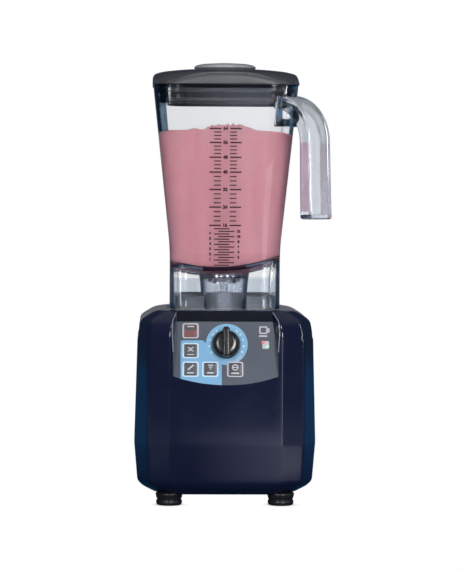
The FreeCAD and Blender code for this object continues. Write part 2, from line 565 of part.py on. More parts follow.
jar = jar.cut(cav).cut(under).fuse(boss)
jar = jar.cut(cyl(13.0, 215.0, 245.0))
# small drain notches at the skirt
for sx in (-1, 1):
    jar = jar.cut(box(-6, 6, min(sx * 50, sx * 60), max(sx * 50, sx * 60), 199, 202.2))
parts["jar"] = jar.removeSplitter()

# blade unit, held in the jar floor; drawn for a seat at 229.3 and then raised to the floor's own seat
RISE = SEAT_Z - 229.3
parts["blade_gasket"] = tube(19.0, 12.9, 229.3, 230.3)
bh = cyl(19.0, 230.3, 234.0).fuse(cyl(12.8, 217.0, 230.3)).fuse(cone(15.0, 13.0, 234.0, 240.0))
bh = bh.cut(cyl(9.5, 217.5, 223.5)).cut(cyl(9.5, 228.0, 238.5)).cut(cyl(6.5, 216.0, 241.0))
parts["blade_bearing_housing"] = bh.removeSplitter()
parts["blade_bearings"] = group([tube(9.5, BLADE_SHAFT_R + 0.05, 217.5, 223.5), tube(9.5, BLADE_SHAFT_R + 0.05, 228.0, 234.0)])
parts["blade_shaft_seal"] = tube(9.5, BLADE_SHAFT_R + 0.05, 234.5, 238.5)
nut = tube(17.0, 12.85, 219.0, 225.0)
for i in range(6):
    s = box(15.4, 18, -2.5, 2.5, 218, 226)
    s.rotate(V(0, 0, 0), V(0, 0, 1), 60 * i)
    nut = nut.cut(s)
parts["blade_retaining_nut"] = nut
parts["blade_shaft"] = cyl(BLADE_SHAFT_R, 213.5, 250.0 + RISE)
jc = cyl(18.5, 205.0, 216.0).cut(star(CLUTCH_TEETH, 10.4, 14.0, 204.0, 213.0, grow=0.45)).cut(cyl(14.6, 204.0, 205.6))
jc = jc.fuse(cyl(6.0, 215.0, 217.0)).cut(cyl(BLADE_SHAFT_R, 213.5, 218.0))
parts["jar_clutch"] = jc.removeSplitter()
parts["blade_spacer"] = tube(7.5, BLADE_SHAFT_R, 240.8, 242.4)


def blade(z, lift, r, turn, base_w=15.0, tip_w=6.0, t=1.8):
    """A two-armed blade: flat middle, arms bent by lift degrees."""
    mid = box(-9.0, 9.0, -base_w / 2, base_w / 2, z, z + t)
    arms = [mid]
    L = r - 9.0
    for k in (0, 180):
        pts = [(0, -base_w / 2, 0), (L - 5, -tip_w / 2 - 1, 0), (L, -tip_w / 2 + 1.5, 0), (L - 2, tip_w / 2, 0), (0, base_w / 2, 0)]
        arm = prism(pts, (0, 0, t))
        arm.rotate(V(0, 0, 0), V(0, 1, 0), -lift)
        arm.translate(V(9.0 - (t * math.sin(math.radians(max(lift, 0))) if lift > 0 else 0) * 0, 0, z))
        arm.rotate(V(0, 0, 0), V(0, 0, 1), k)
        arms.append(arm)
    b = fuse(arms).cut(cyl(BLADE_SHAFT_R, z - 5, z + 8))
    b.rotate(V(0, 0, 0), V(0, 0, 1), turn)
    return b


parts["lower_blade"] = blade(242.4, 8.0, 36.0, 20.0)
parts["upper_blade"] = blade(244.2, 38.0, 34.0, 110.0)
capnut = cyl(7.0, 246.0, 250.5).fuse(Part.makeSphere(7.0, V(0, 0, 248.5)).common(box(-10, 10, -10, 10, 250.5, 262)))
parts["blade_cap_nut"] = capnut.cut(cyl(BLADE_SHAFT_R, 240, 250.0)).removeSplitter()

for n in ("blade_gasket", "blade_bearing_housing", "blade_bearings", "blade_shaft_seal", "blade_retaining_nut", "blade_spacer", "lower_blade", "upper_blade", "blade_cap_nut"):
    parts[n].translate(V(0, 0, RISE))

# ----------------------------------------------------------------------------- lid and filler cap
top_pts = [(0.0, 451.0), (30.0, 451.0), (53.0, 450.0), (65.0, 448.2), (77.0, 444.4), (86.0, 439.8), (97.0, 434.6)]
spl = Part.BSplineCurve()
spl.interpolate([V(x, 0, z) for x, z in top_pts[1:]])
dome_edges = [Part.LineSegment(V(0, 0, RIM), V(0, 0, 451.0)).toShape(), Part.LineSegment(V(0, 0, 451.0), V(30.0, 0, 451.0)).toShape(), spl.toShape(),
              Part.LineSegment(V(97.0, 0, 434.6), V(97.0, 0, RIM)).toShape(), Part.LineSegment(V(97.0, 0, RIM), V(0, 0, RIM)).toShape()]
dome = Part.Face(Part.Wire(dome_edges)).revolve(V(0, 0, 0), V(0, 0, 1), 360)
edge = rsq_loft([(RIM, LID_A, LID_R), (438.5, LID_A, LID_R), (442.0, LID_A - 1.0, LID_R - 1.0), (445.2, LID_A - 3.6, LID_R - 3.6), (447.6, LID_A - 8.6, LID_R - 8.0), (449.6, LID_A - 16.0, LID_R - 12.0), (460.0, 34.0, 14.0)])
lid = dome.common(edge)
a432, r432 = 75.0 - JAR_T, 30.0 - JAR_T
PL0, PL1 = 413.0, RIM
def jar_in(z):
    return a432 - (RIM - z) * slope, r432 - (RIM - z) * 10 / 170.0
a0, r0 = jar_in(PL0)
a1, r1 = jar_in(PL1)
plug = rsq_loft([(PL0, a0 - 0.8, r0 - 0.8), (PL1, a1 - 0.8, r1 - 0.8)])
GROOVES = [(414.6, 418.4), (424.4, 428.2)]
for g0, g1 in GROOVES:
    ga, gr = jar_in((g0 + g1) / 2)
    plug = plug.cut(rsq(ga + 5, gr + 5, g0, g1).cut(rsq(ga - 3.0, gr - 3.0, g0 - 1, g1 + 1)))
under_lid = dome.copy()
under_lid.translate(V(0, 0, -3.6))
hollow = under_lid.fuse(cyl(96.0, PL0 - 1, RIM)).common(rsq(a0 - 6.5, r0 - 6.5, PL0 - 1, 460.0))
lid = lid.fuse(plug).cut(hollow)
collar = cyl(CAP_PLUG_R + 3.2, 430.0, 449.0)
lid = lid.fuse(collar).cut(cyl(CAP_PLUG_R + 0.3, 420.0, 460.0))
parts["lid"] = lid.removeSplitter()
seals = []
for g0, g1 in GROOVES:
    ga, gr = jar_in(g0)
    gm, rm = jar_in((g0 + g1) / 2)
    seals.append(rsq(ga - 0.15, gr - 0.15, g0, g1).cut(rsq(gm - 3.0, rm - 3.0, g0 - 1, g1 + 1)))
parts["lid_seals"] = group(seals)
cap_pts = [(0, 451.0), (CAP_R, 451.0), (CAP_R, 453.6), (CAP_R - 2.2, 455.4), (20.0, 456.8), (0, OVERALL_H)]
cap = Part.Face(wire([(x, 0, z) for x, z in cap_pts])).revolve(V(0, 0, 0), V(0, 0, 1), 360)
cap = cap.fuse(cyl(CAP_PLUG_R, 430.0, 451.0)).cut(cyl(CAP_PLUG_R - 3.0, 420.0, 451.0))
parts["filler_cap"] = cap.removeSplitter()

# ----------------------------------------------------------------------------- write
os.makedirs("parts", exist_ok=True)
for f in os.listdir("parts"):
    if f.endswith(".step"):
        os.remove(os.path.join("parts", f))
for name, shape in sorted(parts.items()):
    if shape is None:
        continue
    bad = [s for s in shape.Solids if not s.isValid()]
    print("%-24s solids %2d  volume %10.1f %s" % (name, len(shape.Solids), shape.Volume, "INVALID" if bad or not shape.Solids else ""))
    out = shape if len(shape.Solids) > 1 else shape.Solids[0]
    if len(shape.Solids) > 1:
        out = Part.makeCompound(shape.Solids)
    out.exportStep(os.path.join("parts", name + ".step"))
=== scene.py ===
"""Looks for the milkshake mixer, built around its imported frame. Lengths in the helpers are millimetres."""

import math
import random

import bmesh
import bpy
import numpy as np
from mathutils import Matrix, Vector


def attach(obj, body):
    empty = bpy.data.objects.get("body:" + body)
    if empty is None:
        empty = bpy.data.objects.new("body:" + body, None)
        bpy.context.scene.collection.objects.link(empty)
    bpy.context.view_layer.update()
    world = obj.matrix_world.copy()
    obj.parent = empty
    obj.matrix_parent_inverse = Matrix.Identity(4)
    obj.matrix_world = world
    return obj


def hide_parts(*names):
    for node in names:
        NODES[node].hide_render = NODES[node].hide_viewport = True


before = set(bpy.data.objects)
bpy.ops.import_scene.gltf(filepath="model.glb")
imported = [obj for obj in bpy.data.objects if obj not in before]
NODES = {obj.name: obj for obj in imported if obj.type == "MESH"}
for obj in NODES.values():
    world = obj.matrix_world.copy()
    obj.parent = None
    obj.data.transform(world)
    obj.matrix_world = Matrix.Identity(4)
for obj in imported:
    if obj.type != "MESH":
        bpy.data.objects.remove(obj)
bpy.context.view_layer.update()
random.seed(7)
rng = np.random.default_rng(7)
MM = 0.001

# ------------------------------------------------------------------ shape constants, the same as the design's
TILT = math.radians(14.0)
S14, C14 = math.sin(TILT), math.cos(TILT)
P0 = Vector((0.0, -98.6, 124.8))
PANEL = Matrix.Translation(P0) @ Matrix.Rotation(math.pi / 2 - TILT, 4, "X")
ARC_R = 169.0
KNOB_Y = 42.2
KEYS = {"key_stop": (-36.2, 56.5), "key_mix": (-36.2, 35.9), "key_program_1": (-36.2, 16.6), "key_program_2": (-16.1, 16.6), "key_pulse": (9.3, 16.6)}
LEDS = [(37.9, 44.7), (42.0, 40.2)]
RIM, WALL = 432.0, 3.5
FLOOR_R, FLOOR_X, FLOOR_Z = 164.0, -8.9, 407.2
SEAT_Z = 238.0


# ------------------------------------------------------------------ helpers: meshes
def add(name, verts, faces, mat=None, smooth=True, angle=32.0, place=None):
    me = bpy.data.meshes.new(name)
    if place is not None:
        verts = [place @ Vector(v) for v in verts]
    me.from_pydata([tuple(c * MM for c in v) for v in verts], [], faces)
    me.validate()
    ob = bpy.data.objects.new(name, me)
    bpy.context.scene.collection.objects.link(ob)
    fix_normals(ob)
    shade(ob, smooth, angle)
    if mat is not None:
        me.materials.append(mat)
    return ob


def fix_normals(ob):
    bm = bmesh.new()
    bm.from_mesh(ob.data)
    bmesh.ops.recalc_face_normals(bm, faces=bm.faces)
    bm.to_mesh(ob.data)
    bm.free()


def shade(ob, smooth=True, angle=32.0):
    me = ob.data
    me.polygons.foreach_set("use_smooth", [smooth] * len(me.polygons))
    if smooth:
        me.set_sharp_from_angle(angle=math.radians(angle))
    me.update()


def apply(ob, mod):
    bpy.context.view_layer.objects.active = ob
    for o in bpy.context.selected_objects:
        o.select_set(False)
    ob.select_set(True)
    bpy.ops.object.modifier_apply(modifier=mod.name)


def boolean(ob, other, op="DIFFERENCE", keep=False):
    m = ob.modifiers.new("b", "BOOLEAN")
    m.operation = op
    m.solver = "EXACT"
    m.object = other
    apply(ob, m)
    if not keep:
        me = other.data
        bpy.data.objects.remove(other)
        bpy.data.meshes.remove(me)
    return ob


def tidy(ob, angle=32.0, dist=0.01):
    bm = bmesh.new()
    bm.from_mesh(ob.data)
    bmesh.ops.remove_doubles(bm, verts=bm.verts, dist=dist * MM)
    bmesh.ops.dissolve_degenerate(bm, dist=0.002 * MM, edges=bm.edges)
    bmesh.ops.recalc_face_normals(bm, faces=bm.faces)
    bm.to_mesh(ob.data)
    bm.free()
    shade(ob, True, angle)


def rings_mesh(rings, close_start=True, close_end=True, loop=False):
    """Faces between rings of equal count; each ring is a closed loop of points."""
    n = len(rings[0])
    verts = [p for r in rings for p in r]
    faces = []
    m = len(rings)
    for i in range(m if loop else m - 1):
        a, b = i * n, ((i + 1) % m) * n
        for k in range(n):
            k2 = (k + 1) % n
            faces.append((a + k, a + k2, b + k2, b + k))
    if not loop:
        if close_start:
            faces.append(tuple(reversed(range(n))))
        if close_end:
            faces.append(tuple(range((m - 1) * n, m * n)))
    return verts, faces


def lathe(name, prof, mat=None, n=96, x=0.0, y=0.0, angle=32.0, place=None, loop=False):
    """prof: (r, z) points; ends on the axis when r is 0."""
    rings = []
    poles = []
    verts, faces = [], []
    idx = []
    for r, z in prof:
        if r < 1e-6:
            verts.append((x, y, z))
            idx.append([len(verts) - 1])
        else:
            base = len(verts)
            for k in range(n):
                a = 2 * math.pi * k / n
                verts.append((x + r * math.cos(a), y + r * math.sin(a), z))
            idx.append(list(range(base, base + n)))
    m = len(prof)
    for i in range(m if loop else m - 1):
        A, B = idx[i], idx[(i + 1) % m]
        if len(A) == 1 and len(B) == 1:
            continue
        for k in range(n):
            k2 = (k + 1) % n
            if len(A) == 1:
                faces.append((A[0], B[k2], B[k]))
            elif len(B) == 1:
                faces.append((A[k], A[k2], B[0]))
            else:
                faces.append((A[k], A[k2], B[k2], B[k]))
    return add(name, verts, faces, mat, True, angle, place)


def fillet_profile(pts, closed=False, seg=5):
    """pts: (x, y, r). Rounds each corner with radius r."""
    out = []
    n = len(pts)
    for i, p in enumerate(pts):
        r = p[2] if len(p) > 2 else 0.0
        if r <= 0 or (not closed and i in (0, n - 1)):
            out.append((p[0], p[1]))
            continue
        a = Vector(pts[i - 1][:2]) - Vector(p[:2])
        b = Vector(pts[(i + 1) % n][:2]) - Vector(p[:2])
        la, lb = a.length, b.length
        a.normalize(); b.normalize()
        ang = a.angle(b)
        if ang > math.pi - 1e-3:
            out.append((p[0], p[1]))
            continue
        d = min(r / math.tan(ang / 2), la * 0.49, lb * 0.49)
        rr = d * math.tan(ang / 2)
        A = Vector(p[:2]) + a * d
        B = Vector(p[:2]) + b * d
        c = Vector(p[:2]) + (a + b).normalized() * (rr / math.sin(ang / 2))
        a0 = math.atan2(A.y - c.y, A.x - c.x)
        a1 = math.atan2(B.y - c.y, B.x - c.x)
        da = (a1 - a0 + math.pi) % (2 * math.pi) - math.pi
        for k in range(seg + 1):
            t = a0 + da * k / seg
            out.append((c.x + rr * math.cos(t), c.y + rr * math.sin(t)))
    return out


def extrude(name, outline, z0, z1, mat=None, place=None, bevel=0.0, angle=32.0):
    """outline: closed list of (x, y). bevel rounds the top edge by insetting."""
    n = len(outline)
    if bevel > 0:
        rings = [[(x, y, z0) for x, y in outline]]
        seg = 3
        for k in range(seg + 1):
            t = math.pi / 2 * k / seg
            rings.append([(x, y, z1 - bevel + bevel * math.sin(t)) for x, y in inset_outline(outline, bevel * (1 - math.cos(t)))])
        v, f = rings_mesh(rings)
        return add(name, v, f, mat, True, angle, place)
    v, f = rings_mesh([[(x, y, z0) for x, y in outline], [(x, y, z1) for x, y in outline]])
    return add(name, v, f, mat, True, angle, place)


def inset_outline(outline, d):
    """Moves each point of a counter-clockwise outline inwards by d."""
    if d <= 0:
        return list(outline)
    n = len(outline)
    out = []
    for i in range(n):
        p0, p, p1 = Vector(outline[i - 1]), Vector(outline[i]), Vector(outline[(i + 1) % n])
        e0, e1 = (p - p0), (p1 - p)
        if e0.length < 1e-9:
            e0 = e1
        if e1.length < 1e-9:
            e1 = e0
        n0 = Vector((-e0.y, e0.x)).normalized()
        n1 = Vector((-e1.y, e1.x)).normalized()
        nn = (n0 + n1)
        if nn.length < 1e-6:
            nn = n0
        nn.normalize()
        c = max(nn.dot(n0), 0.5)
        q = p + nn * (d / c)
        out.append((q.x, q.y))
    return out


def rrect(x, y, w, h, r, seg=6):
    a, b = w / 2.0, h / 2.0
    return fillet_profile([(x - a, y - b, r), (x + a, y - b, r), (x + a, y + b, r), (x - a, y + b, r)], True, seg)


def circle(x, y, r, n=48, a0=0.0):
    return [(x + r * math.cos(a0 + 2 * math.pi * k / n), y + r * math.sin(a0 + 2 * math.pi * k / n)) for k in range(n)]


def join(name, objs):
    for o in bpy.context.selected_objects:
        o.select_set(False)
    for o in objs:
        o.select_set(True)
    bpy.context.view_layer.objects.active = objs[0]
    if len(objs) > 1:
        bpy.ops.object.join()
    objs[0].name = name
    objs[0].data.name = name
    return objs[0]


# ------------------------------------------------------------------ helpers: materials
class Mat:
    """A small wrapper over a node tree."""

    def __init__(self, name):
        self.m = bpy.data.materials.new(name)
        self.m.use_nodes = True
        self.t = self.m.node_tree
        self.t.nodes.clear()
        self.out = self.t.nodes.new("ShaderNodeOutputMaterial")
        self.p = self.t.nodes.new("ShaderNodeBsdfPrincipled")
        self.t.links.new(self.p.outputs[0], self.out.inputs["Surface"])
        self.coord = self.t.nodes.new("ShaderNodeTexCoord").outputs["Object"]

    def n(self, kind, **kw):
        nd = self.t.nodes.new(kind)
        for k, v in kw.items():
            setattr(nd, k, v)
        return nd

    def link(self, a, b):
        self.t.links.new(a, b)

    def set(self, **kw):
        for k, v in kw.items():
            self.p.inputs[k.replace("_", " ")].default_value = v
        return self

    def noise(self, scale, detail=3.0, rough=0.5, stretch=None, distortion=0.0):
        nd = self.n("ShaderNodeTexNoise")
        nd.inputs["Scale"].default_value = scale
        nd.inputs["Detail"].default_value = detail
        nd.inputs["Roughness"].default_value = rough
        nd.inputs["Distortion"].default_value = distortion
        if stretch:
            mp = self.n("ShaderNodeMapping")
            mp.inputs["Scale"].default_value = stretch
            self.link(self.coord, mp.inputs["Vector"])
            self.link(mp.outputs[0], nd.inputs["Vector"])
        else:
            self.link(self.coord, nd.inputs["Vector"])
        return nd.outputs["Fac"]

    def ramp(self, fac, stops):
        r = self.n("ShaderNodeValToRGB")
        e = r.color_ramp.elements
        while len(e) > 1:
            e.remove(e[-1])
        for i, (pos, col) in enumerate(stops):
            el = e[0] if i == 0 else e.new(pos)
            el.position = pos
            el.color = (col[0], col[1], col[2], 1.0) if hasattr(col, "__len__") else (col, col, col, 1.0)
        self.link(fac, r.inputs[0])
        return r.outputs["Color"]

    def map(self, fac, a0, a1, b0, b1):
        r = self.n("ShaderNodeMapRange")
        for k, v in zip(("From Min", "From Max", "To Min", "To Max"), (a0, a1, b0, b1)):
            r.inputs[k].default_value = v
        self.link(fac, r.inputs["Value"])
        return r.outputs["Result"]

    def mix(self, fac, a, b, mode="MIX"):
        r = self.n("ShaderNodeMix", data_type="RGBA", blend_type=mode)
        if hasattr(fac, "links"):
            self.link(fac, r.inputs[0])
        else:
            r.inputs[0].default_value = fac
        for v, s in ((a, r.inputs[6]), (b, r.inputs[7])):
            if hasattr(v, "links"):
                self.link(v, s)
            else:
                s.default_value = (v[0], v[1], v[2], 1.0)
        return r.outputs[2]

    def bump(self, height, strength=0.2, distance=0.0002, base=None):
        b = self.n("ShaderNodeBump")
        b.inputs["Strength"].default_value = strength
        b.inputs["Distance"].default_value = distance
        self.link(height, b.inputs["Height"])
        if base is not None:
            self.link(base, b.inputs["Normal"])
        return b.outputs[0]

    def bevel(self, radius):
        b = self.n("ShaderNodeBevel")
        b.samples = 4
        b.inputs["Radius"].default_value = radius
        return b.outputs[0]

    def color(self, sock):
        self.link(sock, self.p.inputs["Base Color"])
        return self

    def rough(self, sock):
        self.link(sock, self.p.inputs["Roughness"])
        return self

    def normal(self, sock):
        self.link(sock, self.p.inputs["Normal"])
        return self


def plastic(name, col, rough=0.3, var=0.12, grain=900.0, strength=0.06, bevel=0.0, coat=0.0, spec=0.5, smudge=0.06, dist=0.0001):
    """Moulded plastic or rubber: slow colour drift, uneven gloss, a fine moulded grain."""
    M = Mat(name)
    drift = M.noise(14.0, 3.0)
    dark = [c * (1 - var) for c in col]
    light = [min(c * (1 + var) + 0.002, 1.0) for c in col]
    M.color(M.ramp(drift, [(0.3, dark), (0.7, light)]))
    M.rough(M.map(M.noise(38.0, 5.0, 0.6), 0.25, 0.75, max(rough - smudge, 0.02), rough + smudge))
    base = M.bevel(bevel) if bevel > 0 else None
    M.normal(M.bump(M.noise(grain, 2.0), strength, dist, base))
    M.set(Coat_Weight=coat, Coat_Roughness=0.08, Specular_IOR_Level=spec)
    return M


def metal(name, col, rough=0.28, brushed=None, strength=0.08, bevel=0.0, spots=0.0):
    """Bare metal with turning or brushing marks; brushed is the stretch of the marks."""
    M = Mat(name)
    fine = M.noise(60.0, 6.0, 0.7, stretch=brushed or (1, 1, 1))
    slow = M.noise(25.0, 4.0)
    c = M.mix(M.map(slow, 0.3, 0.7, 0, 1), [x * 0.82 for x in col], [min(x * 1.06, 1) for x in col])
    if spots:
        sp = M.ramp(M.noise(260.0, 6.0, 0.7), [(0.60, 0.0), (0.68, 1.0)])
        c = M.mix(M.map(sp, 0, 1, 0, spots), c, [0.10, 0.07, 0.05])
    M.color(c)
    M.rough(M.map(fine, 0.3, 0.7, rough * 0.7, rough * 1.4))
    base = M.bevel(bevel) if bevel > 0 else None
    M.normal(M.bump(fine, strength, 0.0002, base))
    M.set(Metallic=1.0)
    return M


# ------------------------------------------------------------------ materials
NAVY = (0.0034, 0.0044, 0.0150)
m_house = Mat("housing_gloss")
_d = m_house.noise(9.0, 2.0)
m_house.color(m_house.ramp(_d, [(0.3, [c * 0.92 for c in NAVY]), (0.7, [c * 1.10 for c in NAVY])]))
m_house.rough(m_house.map(m_house.noise(30.0, 5.0, 0.62), 0.25, 0.8, 0.07, 0.16))
_peel = m_house.noise(260.0, 2.0, 0.5)
_wave = m_house.noise(22.0, 1.0, 0.5)
_b1 = m_house.bump(_wave, 0.10, 0.0004, m_house.bevel(0.0010))
m_house.normal(m_house.bump(_peel, 0.05, 0.00012, _b1))
m_house.set(Specular_IOR_Level=0.5, Coat_Weight=0.35, Coat_Roughness=0.06, Coat_IOR=1.5)

# a lighter copy of the housing plastic for the recess bead: a painted highlight
m_arris_painted_highlight = plastic("housing_edge_painted_highlight", (0.085, 0.092, 0.118), 0.22, 0.15, 300.0, 0.03, spec=0.6)
m_panel = plastic("panel_black", (0.0045, 0.0055, 0.008), 0.12, 0.1, 300.0, 0.03, bevel=0.0004, spec=0.22)
m_foot = plastic("foot_rubber", (0.0055, 0.0055, 0.007), 0.34, 0.2, 1400.0, 0.15, bevel=0.0004, spec=0.25, dist=0.0002)
m_plate = plastic("plate_black", (0.022, 0.022, 0.026), 0.5, 0.15, 1100.0, 0.3, bevel=0.0004, dist=0.0002)
m_knob = plastic("knob_black", (0.006, 0.006, 0.007), 0.24, 0.15, 700.0, 0.05, bevel=0.0005, spec=0.36)
m_pad = plastic("pad_rubber", (0.150, 0.158, 0.168), 0.5, 0.2, 900.0, 0.2, bevel=0.0008, dist=0.0002)
m_seal = plastic("seal_rubber", (0.012, 0.012, 0.013), 0.42, 0.15, 1200.0, 0.15, bevel=0.0004)
m_lid = plastic("lid_dark", (0.019, 0.019, 0.0215), 0.24, 0.10, 700.0, 0.06, bevel=0.0006, spec=0.45, dist=0.0001)
# lid side faces: a lighter, rougher copy of the lid plastic; the lighter colour is painted light on the rim
m_lidside_painted_light = plastic("lid_side_painted_light", (0.030, 0.030, 0.034), 0.38, 0.10, 900.0, 0.10, bevel=0.0006, spec=0.5, dist=0.0001)
m_plug = plastic("lid_plug", (0.0060, 0.0062, 0.0075), 0.13, 0.10, 600.0, 0.012, bevel=0.0006, spec=0.2, dist=0.0001)
m_nylon = plastic("fan_nylon", (0.045, 0.045, 0.05), 0.45, 0.2, 900.0, 0.2, bevel=0.0004)
m_comp = plastic("component_black", (0.018, 0.018, 0.020), 0.4, 0.2, 900.0, 0.15, bevel=0.0003)
m_isolator = plastic("isolator_rubber", (0.030, 0.030, 0.033), 0.55, 0.2, 900.0, 0.2, bevel=0.0005)
m_nut = plastic("nut_nylon", (0.36, 0.37, 0.39), 0.4, 0.15, 800.0, 0.12, bevel=0.0005)
m_redkey = plastic("reset_red", (0.30, 0.02, 0.018), 0.3, 0.15, 700.0, 0.05, bevel=0.0004)

m_steel = metal("shaft_steel", (0.56, 0.57, 0.60), 0.22, (1, 1, 22))
m_screw = metal("screw_steel", (0.50, 0.50, 0.52), 0.28, (1, 1, 8), bevel=0.0003)
m_clutch = metal("clutch_steel", (0.66, 0.67, 0.70), 0.48, (1, 1, 18), bevel=0.0004, spots=0.25)
m_coupling = metal("coupling_sintered", (0.62, 0.63, 0.66), 0.5, (1, 1, 18), bevel=0.0004)
m_coupling.set(Metallic=0.35)
m_blade = metal("blade_steel", (0.60, 0.61, 0.63), 0.20, (14, 1, 1), bevel=0.0002)
m_bearing = metal("bearing_steel", (0.66, 0.67, 0.70), 0.14, (1, 1, 26), bevel=0.0004)
m_alu = metal("bracket_aluminium", (0.58, 0.59, 0.61), 0.42, (1, 1, 1), 0.3, bevel=0.0006)
m_lam = metal("lamination_steel", (0.25, 0.25, 0.27), 0.42, (1, 1, 90), 0.5, spots=0.3)
m_copper = metal("copper_wire", (0.62, 0.24, 0.10), 0.24, (1, 1, 70), 0.6)
m_brass = metal("holder_brass", (0.60, 0.44, 0.17), 0.3, (1, 1, 6), bevel=0.0003)
m_carbon = plastic("brush_carbon", (0.02, 0.02, 0.02), 0.55, 0.3, 1500.0, 0.3)

m_board = Mat("board_green")
_w = m_board.n("ShaderNodeTexVoronoi", feature="F1", distance="MANHATTAN")
_w.inputs["Scale"].default_value = 190.0
m_board.link(m_board.coord, _w.inputs["Vector"])
m_board.color(m_board.ramp(_w.outputs["Distance"], [(0.10, (0.10, 0.20, 0.06)), (0.16, (0.01, 0.10, 0.035)), (0.6, (0.008, 0.075, 0.028))]))
m_board.set(Roughness=0.35)
m_board.normal(m_board.bump(_w.outputs["Distance"], 0.1, 0.0001))

# printed film on the sloping panel
m_film = Mat("overlay_grey")
_g = m_film.noise(2200.0, 2.0)
_s = m_film.noise(16.0, 3.0)
_base = m_film.mix(m_film.map(_s, 0.3, 0.7, 0, 1), (0.028, 0.036, 0.049), (0.036, 0.044, 0.058))
m_film.color(m_film.mix(m_film.map(_g, 0.3, 0.7, 0.0, 0.10), _base, (0.11, 0.12, 0.14)))
m_film.rough(m_film.map(m_film.noise(45.0, 4.0), 0.3, 0.7, 0.30, 0.42))
m_film.normal(m_film.bump(_g, 0.12, 0.00006))
m_film.set(Specular_IOR_Level=0.22)


def ink(name, col, rough=0.38, var=0.06, spec=0.4):
    M = Mat(name)
    f = M.noise(1500.0, 2.0)
    M.color(M.mix(M.map(f, 0.3, 0.7, 0, 1), [c * (1 - var) for c in col], [min(c * (1 + var), 1) for c in col]))
    M.rough(M.map(M.noise(60.0, 3.0), 0.3, 0.7, rough - 0.05, rough + 0.05))
    M.normal(M.bump(f, 0.1, 0.00005))
    M.set(Specular_IOR_Level=spec)
    return M


m_blue = ink("print_blue", (0.078, 0.190, 0.305))
m_blue2 = ink("print_blue_ring", (0.088, 0.200, 0.305))
m_white = ink("print_white", (0.29, 0.36, 0.42))
m_pale = ink("print_pale", (0.25, 0.235, 0.26))
m_key = ink("key_face", (0.024, 0.027, 0.033), 0.34)
m_keyred = ink("key_face_red", (0.090, 0.026, 0.030), 0.34)
m_icon = ink("key_icon", (0.27, 0.275, 0.29), 0.4)
m_scale = ink("scale_print", (0.040, 0.008, 0.014), 0.42, 0.1, 0.3)


def lens(name, col, glow):
    M = Mat(name)
    M.set(Base_Color=(*col, 1.0), Roughness=0.12, Transmission_Weight=0.3, Emission_Color=(*col, 1.0), Emission_Strength=glow * 0.35)
    f = M.noise(400.0, 2.0)
    M.normal(M.bump(f, 0.08, 0.0001))
    return M


m_led_red = lens("lamp_red", (0.62, 0.10, 0.11), 0.9)
m_led_green = lens("lamp_green", (0.22, 0.62, 0.34), 0.9)
m_led_white = lens("lamp_white", (0.80, 0.82, 0.80), 0.6)

# clear polycarbonate
m_clear = Mat("jar_clear")
m_clear.set(Base_Color=(0.925, 0.932, 0.942, 1), Transmission_Weight=1.0, IOR=1.52, Specular_IOR_Level=0.5)
m_clear.rough(m_clear.map(m_clear.noise(30.0, 5.0, 0.6), 0.35, 0.8, 0.0, 0.06))
_w1 = m_clear.noise(16.0, 2.0, 0.5, stretch=(1, 1, 0.35))
m_clear.normal(m_clear.bump(_w1, 0.05, 0.0008))

# the same plastic where it is thick, in the handle: a darker, blotchy tint that paints dark and pale reflections, over
# flow marks as bumps
m_clear_thick_painted_reflections = Mat("jar_clear_thick_painted_reflections")
m_clear_thick_painted_reflections.set(Transmission_Weight=1.0, IOR=1.52, Specular_IOR_Level=0.5)
_h1 = m_clear_thick_painted_reflections.noise(26.0, 3.0, 0.6, stretch=(1, 1, 0.25), distortion=0.6)
m_clear_thick_painted_reflections.color(m_clear_thick_painted_reflections.ramp(_h1, [(0.34, (0.27, 0.32, 0.40)), (0.48, (0.56, 0.58, 0.62)), (0.62, (0.74, 0.75, 0.77))]))
m_clear_thick_painted_reflections.rough(m_clear_thick_painted_reflections.map(_h1, 0.3, 0.7, 0.03, 0.14))
m_clear_thick_painted_reflections.normal(m_clear_thick_painted_reflections.bump(m_clear_thick_painted_reflections.noise(34.0, 2.0, 0.5, stretch=(1, 1, 0.3), distortion=0.4), 0.30, 0.0015))

# the outer wall across the floor's edge: a dark blue tint that paints the dark shade of the floor line
m_clear_floor_painted_shade = Mat("jar_clear_floor_painted_shade")
m_clear_floor_painted_shade.set(Transmission_Weight=1.0, IOR=1.52, Specular_IOR_Level=0.5)
m_clear_floor_painted_shade.color(m_clear_floor_painted_shade.ramp(m_clear_floor_painted_shade.noise(30.0, 3.0), [(0.3, (0.030, 0.040, 0.085)), (0.7, (0.075, 0.075, 0.130))]))
m_clear_floor_painted_shade.rough(m_clear_floor_painted_shade.map(m_clear_floor_painted_shade.noise(60.0, 3.0), 0.3, 0.7, 0.02, 0.10))

m_clear4 = Mat("jar_clear_under")
m_clear4.set(Transmission_Weight=1.0, IOR=1.52, Specular_IOR_Level=0.5)
m_clear4.color(m_clear4.ramp(m_clear4.noise(30.0, 3.0), [(0.3, (0.40, 0.40, 0.50)), (0.7, (0.62, 0.62, 0.70))]))
m_clear4.rough(m_clear4.map(m_clear4.noise(60.0, 3.0), 0.3, 0.7, 0.05, 0.20))

# the coupling tube and the handle's root: slightly hazy moulding
m_frost = Mat("jar_clear_hazy")
m_frost.set(Transmission_Weight=1.0, IOR=1.50, Specular_IOR_Level=0.5)
_z1 = m_frost.noise(24.0, 3.0, 0.6, stretch=(1, 1, 0.4))
m_frost.color(m_frost.ramp(_z1, [(0.3, (0.93, 0.95, 0.98)), (0.7, (0.99, 0.99, 1.0))]))
m_frost.rough(m_frost.map(_z1, 0.3, 0.7, 0.08, 0.22))

